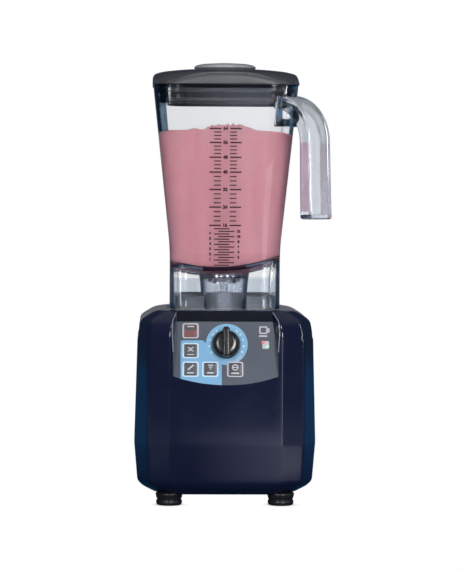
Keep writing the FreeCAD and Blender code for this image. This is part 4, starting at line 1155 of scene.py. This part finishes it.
def handle_path(n=18):
    """Centre line of the outer face: points (u, z), outward normals, and grip thickness."""
    P = []
    P.append(((70.0, ARC_Z + R_OUT), (0.0, 1.0), 13.7))
    P.append(((78.0, ARC_Z + R_OUT), (0.0, 1.0), 13.7))
    for k in range(n + 1):
        t = math.pi / 2 * (1 - k / n)
        P.append(((ARC_U + R_OUT * math.cos(t), ARC_Z + R_OUT * math.sin(t)), (math.cos(t), math.sin(t)), 13.7))
    for k in range(1, 13):
        f = k / 12.0
        u = 134.0 + (137.0 - 134.0) * f
        z = ARC_Z + (296.0 - ARC_Z) * f
        nx, nz = 0.9993, 0.0365 * min(1, f * 3)
        P.append(((u, z), (nx, nz), 13.7 + 1.5 * f))
    return P


def sweep(section, path, close=True, end_round=0.0):
    """section(k, T) gives (depth, across) points: depth is measured inwards from the outer face."""
    rings = []
    for (u, z), (nx, nz), T in path:
        rings.append([(u - nx * d, a, z - nz * d) for d, a in section(T)])
    return rings


def handle():
    W = 33.8
    def outer(T, shrink=0.0):
        pts = [(0 + shrink, -W / 2 + shrink, 3.2), (0 + shrink, W / 2 - shrink, 3.2), (T - shrink, W / 2 - shrink, 1.4), (T - shrink, -W / 2 + shrink, 1.4)]
        return fillet_profile(pts, True, 5)
    path = handle_path()
    rings = sweep(outer, path)
    # rounded foot of the grip
    (u, z), (nx, nz), T = path[-1]
    for dz, s in ((0.7, 0.25), (1.4, 0.9), (1.8, 2.0)):
        rings.append([(u + 0.03 * dz - nx * d, a, z - dz) for d, a in outer(T, s)])
    v, f = rings_mesh(rings)
    H = add("handle_shape", v, f, m_clear.m, True, 40.0, U_R)
    # channel on the palm side
    def inner(T):
        pts = [(3.4, -W / 2 + 3.5, 2.6), (3.4, W / 2 - 3.5, 2.6), (T + 6, W / 2 - 3.5, 0.0), (T + 6, -W / 2 + 3.5, 0.0)]
        return fillet_profile(pts, True, 5)
    cp = []
    for (u, z), (nx, nz), T in path[5:-1]:
        if z > 299.6:
            cp.append(((u, z), (nx, nz), T))
    (u, z), nn, T = path[-1]
    cp.append(((136.9, 299.6), (0.9993, 0.0365), T))
    v, f = rings_mesh(sweep(inner, cp))
    boolean(H, add("ch", v, f, None, True, 40.0, U_R))
    # root block
    bw = 30.0
    o = fillet_profile([(70, 388.2, 0), (90.5, 389.0, 4.0), (95.5, 397.0, 5.0), (95.5, 412.0, 3.0), (88.0, 419.0, 3.0), (70, 419.0, 0)], True, 5)
    rr = []
    for a, s in ((-bw / 2, 1.2), (-bw / 2 + 0.4, 0.4), (-bw / 2 + 1.2, 0.0), (bw / 2 - 1.2, 0.0), (bw / 2 - 0.4, 0.4), (bw / 2, 1.2)):
        q = inset_outline(o, s) if s > 0 else o
        rr.append([(x, a, z) for x, z in q])
    v, f = rings_mesh(rr)
    root = add("root", v, f, None, True, 40.0, U_R)
    boolean(H, root, "UNION")
    # trim to the middle of the jar wall
    R = []
    for z in (370.0, 400.0, 440.0):
        a, r = jar_ar(z)
        R.append([(x, y, z) for x, y in rsq_pts(a - 1.6, r - 1.6, 4, 14)])
    v, f = rings_mesh(R)
    boolean(H, add("core", v, f))
    return H


jar = jar_body()
hd = handle()
boolean(jar, hd, "UNION")
tidy(jar, 34.0, 0.004)
jar.data.materials.clear()
jar.data.materials.append(m_clear.m)
jar.data.materials.append(m_clear_thick_painted_reflections.m)
for q in (m_clear_floor_painted_shade, m_clear4, m_frost, m_rose_painted_reflection, m_grip_painted_sheen, m_corner_painted_shade, m_skirt_painted_streaks):
    jar.data.materials.append(q.m)
for p in jar.data.polygons:
    c = p.center / MM
    u = (c.x - c.y) * math.sqrt(0.5)
    # the handle takes the blotchy tint that paints its reflections
    p.material_index = 1 if (c.x > 30 and c.y < -30 and u > 96.5) else 0
    d = c.z - dish(c.x, c.y, 4.0) if max(abs(c.x), abs(c.y)) < 54.2 else 9.0
    if -2.6 < d < 0.6 and math.hypot(c.x, c.y) > 27.0 and c.z > 232.0:
        p.material_index = 3
    # the band of wall along the floor's edge: painted shade
    if max(abs(c.x), abs(c.y)) > 56.0 and dish(c.x, c.y, 4.0) + 0.5 < c.z < dish(c.x, c.y) + 0.8:
        p.material_index = 2
    if math.hypot(c.x, c.y) < 27.3 and c.z < 238.6:
        p.material_index = 4
    wall = jar_ar(c.z)[0]
    if 70.0 < u <= 96.5 and c.x > 30 and c.y < -30 and c.z > 387.0 and math.hypot(c.x, c.y) > math.sqrt(2) * (wall - 0.292 * jar_ar(c.z)[1]) + 0.6:
        p.material_index = 4
    if p.material_index == 1 and c.z < 299.0:
        p.material_index = 4
    # grip side towards the drink: painted reflection of the drink
    if p.material_index == 1 and p.normal.dot(Vector((-0.7071, -0.7071, 0.0))) > 0.8 and c.z < 374.0:
        p.material_index = 5
    # outer face and top of the grip: painted sheen
    if p.material_index == 1 and (p.normal.dot(Vector((0.7071, -0.7071, 0.0))) > 0.75 or p.normal.z > 0.55):
        p.material_index = 6
    # foot of the grip: painted sheen in place of a dark refracted rim
    if c.x > 30 and c.y < -30 and u > 96.5 and c.z < 299.0 and (p.normal.z < -0.7 or p.normal.dot(Vector((0.7071, -0.7071, 0.0))) > 0.75):
        p.material_index = 6
    # front left corner above the drink: painted shade
    if c.x < -(wall - 10.5) and c.y < -40.0 and 386.0 < c.z < 431.0 and p.normal.dot(Vector((c.x, c.y, 0.0))) > 0:
        p.material_index = 7
    # skirt: painted shade and streaks
    if c.z < 231.5 and max(abs(c.x), abs(c.y)) > 50.0 and abs(p.normal.z) < 0.3 and p.normal.dot(Vector((c.x, c.y, 0.0))) > 0 and p.material_index == 0:
        p.material_index = 8
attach(jar, "jar")
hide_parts("jar")

# ------------------------------------------------------------------ printed scale on the front of the jar
def wall_point(x, z, out=0.05):
    a, r = soft_ar(z)
    return (x, -a - out, z)


def wall_patch(x0, x1, z0, z1):
    """Thin raised print between two heights of the front wall."""
    v = []
    for out in (-0.01, 0.05):
        for x, z in ((x0, z0), (x1, z0), (x1, z1), (x0, z1)):
            v.append(wall_point(x, z, out))
    f = [(0, 1, 2, 3), (7, 6, 5, 4), (0, 4, 5, 1), (1, 5, 6, 2), (2, 6, 7, 3), (3, 7, 4, 0)]
    return v, [tuple(reversed(q)) for q in f]


def px_x(px):      # horizontal place on the front wall
    return (px - 224.9) / 0.969 - 2.0


def px_z(py):
    return 330.0 + (183.3 - py) / 0.971


patches_v, patches_f = [], []


def patch(x0, x1, zc, h=1.1):
    h *= 1.25
    v, f = wall_patch(x0, x1, zc - h / 2, zc + h / 2)
    b = len(patches_v)
    patches_v.extend(v)
    patches_f.extend([tuple(i + b for i in q) for q in f])


digits = []


def number(text, xc, zc, size):
    cu = bpy.data.curves.new("num", "FONT")
    cu.body = text
    cu.size = size * MM
    cu.align_x = "CENTER"
    cu.align_y = "CENTER"
    cu.extrude = 0.025 * MM
    cu.offset = 0.32 * MM
    cu.resolution_u = 3
    ob = bpy.data.objects.new("num", cu)
    bpy.context.scene.collection.objects.link(ob)
    a, r = soft_ar(zc)
    lean = math.atan((soft_ar(zc + 3)[0] - soft_ar(zc - 3)[0]) / 6.0)
    ob.matrix_world = Matrix.Translation(Vector((xc, -a - 0.02, zc)) * MM) @ Matrix.Rotation(math.pi / 2 + lean, 4, "X")
    bpy.context.view_layer.update()
    dg = bpy.context.evaluated_depsgraph_get()
    me = bpy.data.meshes.new_from_object(ob.evaluated_get(dg))
    me.transform(ob.matrix_world)
    o2 = bpy.data.objects.new("num", me)
    bpy.context.scene.collection.objects.link(o2)
    bpy.data.objects.remove(ob)
    me.materials.clear()
    me.materials.append(m_scale.m)
    digits.append(o2)


majors = [128.3, 142.2, 156.9, 171.7, 189.1, 206.7, 225.0]
labels = ["64", "56", "48", "40", "32", "24", "16"]
for i, (py, lab) in enumerate(zip(majors, labels)):
    z = px_z(py)
    patch(px_x(210.0), px_x(221.9), z, 1.2)
    patch(px_x(230.6), px_x(242.0), z, 1.2)
    number(lab, px_x(225.9), z, 4.6)
    if i < len(majors) - 1:
        for k in (1, 2, 3):
            q = px_z(py + (majors[i + 1] - py) * k / 4.0)
            patch(px_x(214.6), px_x(221.6), q, 0.9)
            patch(px_x(230.4), px_x(237.2), q, 0.9)
# lower double scale
for k, py in enumerate(np.arange(228.3, 265.0, 2.62)):
    z = px_z(float(py))
    if k % 2 == 0:
        patch(px_x(215.2), px_x(230.4), z, 0.95)
    else:
        patch(px_x(219.4), px_x(235.4), z, 0.95)
for k, py in enumerate((233, 238.2, 243.4, 248.6, 253.8, 259)):
    number(str(6 - k), px_x(211.2), px_z(py), 3.5)
for k, py in enumerate((231, 236.2, 241.4, 246.6, 251.8, 257)):
    number(str(12 - 2 * k), px_x(239.6), px_z(py), 3.5)
scale = add("jar_scale_lines", patches_v, patches_f, m_scale.m, False)
scale = join("jar_scale_print", [scale] + digits)
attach(scale, "jar")

# ------------------------------------------------------------------ milkshake in the jar
surf = [(-80, 384.2), (-71, 384.2), (-38.3, 383.7), (-35, 384.6), (-32.2, 385.8), (-28, 384.9), (-23.5, 383.9), (-18.8, 386.4), (-13.5, 388.3), (0, 389.2), (16.1, 388.8), (25.3, 386.6), (28.4, 384.2), (44, 383.2), (58.2, 382.2), (65.4, 380.6), (80, 380.4)]


_sx = np.linspace(-80, 80, 321)
_sz = np.interp(_sx, [p[0] for p in surf], [p[1] for p in surf])
for _ in range(24):
    _sz[1:-1] = (_sz[:-2] + 2 * _sz[1:-1] + _sz[2:]) / 4


def milk_top(x, y):
    z = np.interp(x, _sx, _sz) + 1.2 + 0.25 * math.sin(x * 1.1) + 0.15 * math.sin(x * 2.3 + 1.0)
    d = smooth((y + 66.0) / 50.0)
    w = 1.6 * math.sin(x * 0.09 + y * 0.05) + 1.2 * math.sin(y * 0.13 - x * 0.03 + 1.0)
    return float(z * (1 - d) + (377.5 + w) * d)


def milk():
    R = []
    over = 0.25
    # from the floor centre outwards, up the wall, then in across the surface
    R.append(cring(2.0, SEAT_Z - 0.3))
    R.append(cring(12.0, SEAT_Z - 0.3))
    R.append(cring(21.9, SEAT_Z - 0.2))
    R.append(cring(23.0, lambda x, y: dish(x, y) - over))
    for t in (0.1, 0.4, 0.7, 0.9):
        R.append(mring(t, 50.1, 13.1, 24.0, lambda x, y: dish(x, y) - over))
    R.append([(x, y, dish(x, y) - over + 0.2) for x, y, _ in jring(50.3, 13.3, 0, 0.0)])
    R.append([(x, y, dish(x, y) + 1.2) for x, y, _ in jring(53.1, 16.1, 0, 2.0)])
    a, r = 57.0 - WALL + over, 20.0 - WALL + over
    for t in (0.0, 0.3, 0.7):
        R.append([(x, y, (dish(x, y) + 3.0) * (1 - t) + 262.0 * t) for x, y, _ in jring(a, r, 0, 2.4)])
    for z in tuple(range(263, 282, 3)) + tuple(range(286, 386, 10)):
        a, r = soft_ar(z)
        R.append(jring(a - WALL + over, r - WALL + over, z, 2.4))
    a, r = soft_ar(385)
    for d, k in ((0.0, -2.5), (0.0, -0.2), (0.5, 0.15), (1.4, 0.0), (3.0, -0.7)):
        R.append([(x, y, milk_top(x, y) + k) for x, y, _ in jring(a - WALL + over - d - (0.25 if k == -2.5 else 0), r - WALL + over - d, 0)])
    for t in (0.9, 0.75, 0.6, 0.45, 0.3, 0.15):
        R.append(mring(t, a - WALL - 3.0, r - WALL - 3.0, 4.0, lambda x, y: milk_top(x, y) - 0.9))
    R.append(cring(2.0, lambda x, y: milk_top(x, y) - 0.9))
    v, f = rings_mesh(R)
    return add("milkshake_fill", v, f, m_milk.m, True, 60.0)


mk = milk()
# a few bubbles where the foam meets the wall
bub = []
for k in range(46):
    x = float(rng.uniform(-62, 62))
    s = float(rng.uniform(0.5, 1.5))
    z = milk_top(x, -64) + float(rng.uniform(-0.5, 0.7))
    a, r = soft_ar(z)
    if abs(x) > a - r - 2:
        continue
    prof = [(s * math.sin(math.pi * j / 6.0), z + s * math.cos(math.pi * j / 6.0)) for j in range(7)]
    prof[0] = (0.0, prof[0][1]); prof[-1] = (0.0, prof[-1][1])
    bub.append(lathe("bb", prof, m_milk.m, 12, x, -(a - WALL - s * 0.85), 60.0))
mk = join("milkshake_fill", [mk] + bub)
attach(mk, "jar")

# ------------------------------------------------------------------ lid and filler cap
def dome_z(r):
    pts = [(0, 450.2), (26, 450.2), (34, 449.7), (44, 449.0), (53, 448.3), (65, 447.0), (77, 444.2), (86, 439.8), (97, 434.2)]
    return float(np.interp(r, [p[0] for p in pts], [p[1] for p in pts]))


_dx = np.linspace(0, 100, 401)
_dz = np.array([dome_z(t) for t in _dx])
for _ in range(60):
    _dz[1:-1] = (_dz[:-2] + 2 * _dz[1:-1] + _dz[2:]) / 4


def dome(r):
    return float(np.interp(r, _dx, _dz))


def lid_shape():
    A, Rr = 76.0, 30.0
    R = []
    R.append(cring(26.3, 448.0))
    R.append(cring(26.3, 449.4))
    R.append(cring(26.8, 450.0))
    R.append(cring(27.6, 450.2))
    for rc in (30.0, 34.0, 38.0):
        R.append(cring(rc, lambda x, y: dome(math.hypot(x, y))))
    top = lambda x, y: dome(math.hypot(x, y))
    a1, r1 = A - 9.0, Rr - 7.0
    for t in (0.1, 0.2, 0.3, 0.4, 0.5, 0.6, 0.7, 0.8, 0.9, 1.0):
        R.append(mring(t, a1, r1, 38.0, top))
    # rounded edge: blend from the dome down to the side
    def edge(ins, drop):
        out = []
        for x, y, _ in jring(A - ins, Rr - ins * 0.85, 0):
            out.append((x, y, max(top(x, y) - drop, 433.2)))
        return out
    for ins, drop in ((5.2, 0.10), (3.4, 0.35), (2.1, 0.9), (1.1, 1.8), (0.45, 3.0), (0.1, 4.4)):
        R.append(edge(ins, drop))
    def side(z):
        return [(x, y, min(z, max(top(x, y) - 6.4, 432.9))) for x, y, _ in jring(A, Rr, 0)]
    for z in (440.0, 436.5, 434.0, 432.7):
        R.append(side(z))
    R.append(jring(A - 0.3, Rr - 0.3, 432.15))
    R.append(jring(A - 0.9, Rr - 0.9, 432.0))
    R.append(jring(71.6, 26.6, 432.0))
    def pl(z, d=0.8, t=0.0):
        a = 75.0 - WALL - (RIM - z) * SLOPE - d
        r = 30.0 - WALL - (RIM - z) * 10 / 170.0 - d
        return jring(a, r, z)
    R.append(pl(431.4, 1.6))
    R.append(pl(429.2, 1.5))
    for z, d in ((428.4, 0.8), (428.2, 3.0), (424.4, 3.0), (424.2, 0.8), (423.6, 1.0), (422.6, 1.7), (420.6, 1.7), (419.6, 1.0), (418.6, 0.8), (418.4, 3.0), (414.6, 3.0), (414.4, 0.8), (413.8, 0.9), (413.2, 1.3), (413.0, 2.0)):
        R.append(pl(z, d))
    R.append(pl(413.0, 6.2))
    R.append(pl(413.6, 6.9))
    R.append(pl(421.0, 7.4))
    R.append(pl(432.0, 8.2))
    R.append([(x, y, min(440.0, top(x, y) - 6.0)) for x, y, _ in jring(75.0 - WALL - 9.4, 14.0, 0)])
    for t in (0.8, 0.55, 0.3, 0.1):
        R.append(mring(t, 60.0, 14.0, 31.0, lambda x, y: top(x, y) - 4.0))
    R.append(cring(29.6, 446.0))
    R.append(cring(29.2, 444.0))
    R.append(cring(29.2, 430.6))
    R.append(cring(28.6, 430.0))
    R.append(cring(26.9, 430.0))
    R.append(cring(26.3, 430.6))
    R.append(cring(26.3, 440.0))
    v, f = rings_mesh(R, loop=True)
    ob = add("lid_shell", v, f, m_lid.m, True, 50.0)
    ob.data.materials.append(m_lidside_painted_light.m)
    ob.data.materials.append(m_plug.m)
    for p in ob.data.polygons:
        c = p.center / MM
        # outward side faces of the lid: painted light
        if c.z > 432.4 and max(abs(c.x), abs(c.y)) > 70.0 and abs(p.normal.z) < 0.62 and p.normal.dot(Vector((c.x, c.y, 0))) > 0:
            p.material_index = 1
        elif c.z < 431.8:
            p.material_index = 2
    return ob


ld = lid_shape()
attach(ld, "lid")
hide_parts("lid")

cap_prof = fillet_profile([(0, 456.2, 0), (12, 456.15, 8), (24.0, 455.4, 10), (29.6, 454.2, 3.0), (32.4, 452.4, 1.4), (32.4, 451.2, 0.8), (31.2, 450.3, 0.4), (27.0, 450.3, 0.0), (26.0, 449.7, 0.4), (26.0, 431.0, 0.8), (25.2, 430.0, 0.6), (23.6, 430.0, 0.4), (23.0, 431.0, 0.4), (23.0, 449.6, 1.4), (21.0, 451.2, 1.0), (0, 451.4, 0)], False, 5)
cap = lathe("filler_cap_shape", cap_prof, m_cap.m, 128, 0, 0, 34.0)
# inner edge of the dome thickened so the cap reads as a hollow moulding
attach(cap, "filler_cap")
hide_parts("filler_cap")

# ------------------------------------------------------------------ materials of the design's own pieces
own = {
    "bottom_plate": m_plate, "foot_screws": m_screw, "housing_screws": m_screw, "control_panel": m_panel, "control_overlay": m_film,
    "control_board": m_board, "tact_switches": m_comp, "dial_encoder": m_comp, "power_board": m_board, "board_components": m_comp,
    "stator_core": m_lam, "field_coils": m_copper, "motor_top_bracket": m_alu, "motor_bottom_bracket": m_alu, "motor_bearings": m_bearing,
    "motor_screws": m_screw, "rubber_isolators": m_isolator, "carbon_brushes": m_carbon, "brush_holders": m_brass, "fan_shroud": m_nylon,
    "jar_pad": m_pad, "jar_sensor": m_comp, "power_inlet": m_comp, "inlet_contacts": m_brass, "reset_breaker": m_comp,
    "motor_shaft": m_steel, "armature_core": m_lam, "armature_windings": m_copper, "commutator": m_copper, "cooling_fan": m_nylon,
    "drive_clutch": m_clutch, "clutch_screw": m_screw, "shaft_slinger": m_seal, "dial_shaft": m_steel, "reset_button": m_redkey,
    "blade_gasket": m_seal, "blade_bearing_housing": m_steel, "blade_bearings": m_bearing, "blade_shaft_seal": m_seal, "blade_retaining_nut": m_nut,
    "blade_shaft": m_steel, "jar_clutch": m_coupling, "blade_spacer": m_steel, "lower_blade": m_blade, "upper_blade": m_blade, "blade_cap_nut": m_screw,
    "lid_seals": m_seal,
}
for name, mat in own.items():
    o = NODES[name]
    o.data.materials.clear()
    o.data.materials.append(mat.m)
    for p in o.data.polygons:
        p.material_index = 0

# ------------------------------------------------------------------ floor
M = Mat("studio_floor")
# white sweep, blown out for the eye with a painted contact shadow from an occlusion node; for bounced light it glows
# dim, blue round the object and greyer to the front, with painted shade near the object and painted pools of light at
# the front left and front right
M.set(Roughness=0.8, Specular_IOR_Level=0.1)
# occlusion darkens the white: a painted contact shadow
_ao = M.n("ShaderNodeAmbientOcclusion")
_ao.samples = 8
_ao.inputs["Distance"].default_value = 0.008
_grain = M.map(M.noise(3.0, 2.0), 0.3, 0.7, 0.995, 1.0)
_em = M.n("ShaderNodeEmission")
M.link(M.mix(M.map(_ao.outputs["AO"], 0.25, 1.0, 0.0, 1.0), (0.55, 0.56, 0.58), (1.0, 1.0, 1.0)), _em.inputs[0])
M.link(_grain, _em.inputs[1])
_sep = M.n("ShaderNodeSeparateXYZ")
M.link(M.coord, _sep.inputs[0])
# painted pool of light at the front right, in bounced light only
_gx = M.map(_sep.outputs[0], -0.03, 0.09, 0.0, 1.0)
_gy = M.map(_sep.outputs[1], -0.12, -0.22, 0.0, 1.0)
_gf = M.n("ShaderNodeMath", operation="MULTIPLY")
M.link(_gx, _gf.inputs[0])
M.link(M.map(_sep.outputs[0], 0.22, 0.38, 1.0, 0.25), _gf.inputs[1])
_gm = M.n("ShaderNodeMath", operation="MULTIPLY")
M.link(_gf.outputs[0], _gm.inputs[0])
M.link(_gy, _gm.inputs[1])
_len = M.n("ShaderNodeVectorMath", operation="LENGTH")
M.link(M.coord, _len.inputs[0])
# dimmer close to the object: painted shade in bounced light
_near = M.map(_len.outputs["Value"], 0.10, 0.60, 0.22, 1.0)
_far = M.mix(_near, (0.0, 0.0, 0.0), M.mix(_gy, (0.023, 0.145, 0.345), (0.10, 0.12, 0.16)))
# painted pool of light at the front left
_gm2 = M.n("ShaderNodeMath", operation="MULTIPLY")
M.link(M.map(_sep.outputs[0], -0.10, -0.20, 0.0, 0.14), _gm2.inputs[0])
M.link(M.map(_sep.outputs[1], -0.14, -0.24, 0.0, 1.0), _gm2.inputs[1])
_far = M.mix(_gm2.outputs[0], _far, (0.80, 0.95, 1.15))
_dim = M.n("ShaderNodeEmission")
M.link(M.mix(_gm.outputs[0], _far, (0.90, 0.99, 1.22)), _dim.inputs[0])
_dim.inputs[1].default_value = 0.8
_lp = M.n("ShaderNodeLightPath")
_mx = M.n("ShaderNodeMixShader")
M.link(_lp.outputs["Is Camera Ray"], _mx.inputs[0])
M.link(_dim.outputs[0], _mx.inputs[1])
M.link(_em.outputs[0], _mx.inputs[2])
M.link(_mx.outputs[0], M.out.inputs["Surface"])
n = 96
v, f = [(0, 0, 0)], []
for rr in (300, 900, 1800, 2600):
    for k in range(n):
        t = 2 * math.pi * k / n
        v.append((rr * math.cos(t), rr * math.sin(t), 0))
for k in range(n):
    f.append((0, 1 + k, 1 + (k + 1) % n))
for j in range(3):
    for k in range(n):
        a, b = 1 + j * n, 1 + (j + 1) * n
        f.append((a + k, b + k, b + (k + 1) % n, a + (k + 1) % n))
me = bpy.data.meshes.new("studio_floor")
me.from_pydata([tuple(c * MM for c in q) for q in v], [], f)
floor = bpy.data.objects.new("studio_floor", me)
me.materials.append(M.m)
bpy.context.scene.collection.objects.link(floor)

# ------------------------------------------------------------------ lights
def area(name, loc, target, w, h, power, col=(1, 1, 1), spread=180.0):
    L = bpy.data.lights.new(name, "AREA")
    L.shape = "RECTANGLE"
    L.size, L.size_y = w, h
    L.energy = power
    L.color = col
    L.spread = math.radians(spread)
    ob = bpy.data.objects.new(name, L)
    bpy.context.scene.collection.objects.link(ob)
    ob.location = loc
    d = Vector(target) - Vector(loc)
    ob.rotation_euler = d.to_track_quat("-Z", "Y").to_euler()
    ob.visible_camera = False
    return ob


def ring_light(name, azimuth, elevation, dist, w, h, power, z=0.28, glossy=True):
    """azimuth in degrees from straight in front towards the right."""
    a, e = math.radians(azimuth), math.radians(elevation)
    loc = (math.sin(a) * math.cos(e) * dist, -math.cos(a) * math.cos(e) * dist, z + math.sin(e) * dist)
    ob = area(name, loc, (0, 0, z), w, h, power)
    ob.visible_glossy = glossy
    return ob


ring_light("front_right", 21.0, 12.0, 2.3, 0.45, 1.0, 47.0)
ring_light("front_left", -24.0, 12.0, 2.3, 0.40, 1.0, 34.0)
ring_light("side_left", -62.0, 8.0, 2.0, 0.35, 1.0, 14.0, glossy=False)
ring_light("top", 20.0, 62.0, 2.2, 1.2, 1.0, 22.0, glossy=False)
area("strip_right", (1.41, -0.51, 0.68), (0, 0, 0.3), 0.09, 1.06, 5.5)
area("card_right", (0.215, -0.50, 0.12), (0.16, 0, 0.12), 0.24, 0.26, 0.30, (0.80, 0.88, 1.0))
area("overhead", (0.05, 0.05, 1.9), (0, 0, 0.2), 0.8, 0.7, 4.4, (0.88, 0.94, 1.0))

world = bpy.data.worlds.new("studio")
bpy.context.scene.world = world
world.use_nodes = True
wt = world.node_tree
wt.nodes.clear()


def wn(kind, **kw):
    nd = wt.nodes.new(kind)
    for k, val in kw.items():
        setattr(nd, k, val)
    return nd


out = wn("ShaderNodeOutputWorld")
mixs = wn("ShaderNodeMixShader")
bg_cam, bg_env = wn("ShaderNodeBackground"), wn("ShaderNodeBackground")
bg_cam.inputs[0].default_value = (1, 1, 1, 1)
bg_cam.inputs[1].default_value = 1.0
lp = wn("ShaderNodeLightPath")
wt.links.new(lp.outputs["Is Camera Ray"], mixs.inputs[0])
wt.links.new(bg_env.outputs[0], mixs.inputs[1])
wt.links.new(bg_cam.outputs[0], mixs.inputs[2])
wt.links.new(mixs.outputs[0], out.inputs[0])
tc = wn("ShaderNodeTexCoord")
sep = wn("ShaderNodeSeparateXYZ")
wt.links.new(tc.outputs["Generated"], sep.inputs[0])


def mr(src, a0, a1, b0, b1, smoothstep=True):
    nd = wn("ShaderNodeMapRange")
    nd.interpolation_type = "SMOOTHSTEP" if smoothstep else "LINEAR"
    for k, val in zip(("From Min", "From Max", "To Min", "To Max"), (a0, a1, b0, b1)):
        nd.inputs[k].default_value = val
    wt.links.new(src, nd.inputs["Value"])
    return nd.outputs["Result"]


def op(kind, a, b):
    nd = wn("ShaderNodeMath", operation=kind)
    for i, s in enumerate((a, b)[: len(nd.inputs)]):
        if hasattr(s, "links"):
            wt.links.new(s, nd.inputs[i])
        else:
            nd.inputs[i].default_value = s
    return nd.outputs[0]


# bright wall behind the object; dim, slightly blue room round it, bluer and a little lighter towards both sides; soft
# ceiling
rear = op("MULTIPLY", mr(sep.outputs["Y"], 0.945, 0.985, 0.0, 1.0), mr(sep.outputs["Z"], 0.16, 0.26, 1.0, 0.0))
# full strength through the clear plastic, weak in the gloss of the base and lid
rear = op("MULTIPLY", rear, op("ADD", op("MULTIPLY", lp.outputs["Is Transmission Ray"], 0.86), 0.14))
ceil = mr(sep.outputs["Z"], 0.35, 0.95, 0.0, 0.24)
sideways = mr(op("ABSOLUTE", sep.outputs["X"], 0.0), 0.35, 0.75, 0.0, 1.0)
room = wn("ShaderNodeMix", data_type="RGBA")
wt.links.new(sideways, room.inputs[0])
room.inputs[6].default_value = (0.022, 0.031, 0.058, 1)
room.inputs[7].default_value = (0.026, 0.052, 0.088, 1)
mixc = wn("ShaderNodeMix", data_type="RGBA")
wt.links.new(op("MAXIMUM", rear, ceil), mixc.inputs[0])
wt.links.new(room.outputs[2], mixc.inputs[6])
mixc.inputs[7].default_value = (1.0, 1.0, 1.0, 1)
wt.links.new(mixc.outputs[2], bg_env.inputs[0])
bg_env.inputs[1].default_value = 1.0

# ------------------------------------------------------------------ camera
D, H = 2800.0, 330.0
yaw = math.radians(1.6)
pos = Vector((-math.sin(yaw) * D, -math.cos(yaw) * D, H))
F_PX = 2657.6
look = yaw + math.atan(6.1 / F_PX)
pitch = math.atan(101.2 / F_PX)
fwd = Vector((math.sin(look) * math.cos(pitch), math.cos(look) * math.cos(pitch), -math.sin(pitch)))
right = fwd.cross(Vector((0, 0, 1))).normalized()
upv = right.cross(fwd).normalized()
roll = math.radians(0.3)
r2 = right * math.cos(roll) + upv * math.sin(roll)
u2 = upv * math.cos(roll) - right * math.sin(roll)
cam_data = bpy.data.cameras.new("camera")
cam = bpy.data.objects.new("camera", cam_data)
bpy.context.scene.collection.objects.link(cam)
m = Matrix((r2, u2, -fwd)).transposed().to_4x4()
m.translation = pos * MM
cam.matrix_world = m
cam_data.sensor_fit = "AUTO"
cam_data.sensor_width = 36.0
cam_data.lens = F_PX * 36.0 / 570.0
cam_data.clip_start = 0.05
cam_data.clip_end = 60.0
bpy.context.scene.camera = cam

sc = bpy.context.scene
sc.view_settings.view_transform = "Standard"
sc.view_settings.look = "None"
sc.view_settings.exposure = 0.0
sc.view_settings.gamma = 1.0

bpy.context.view_layer.update()
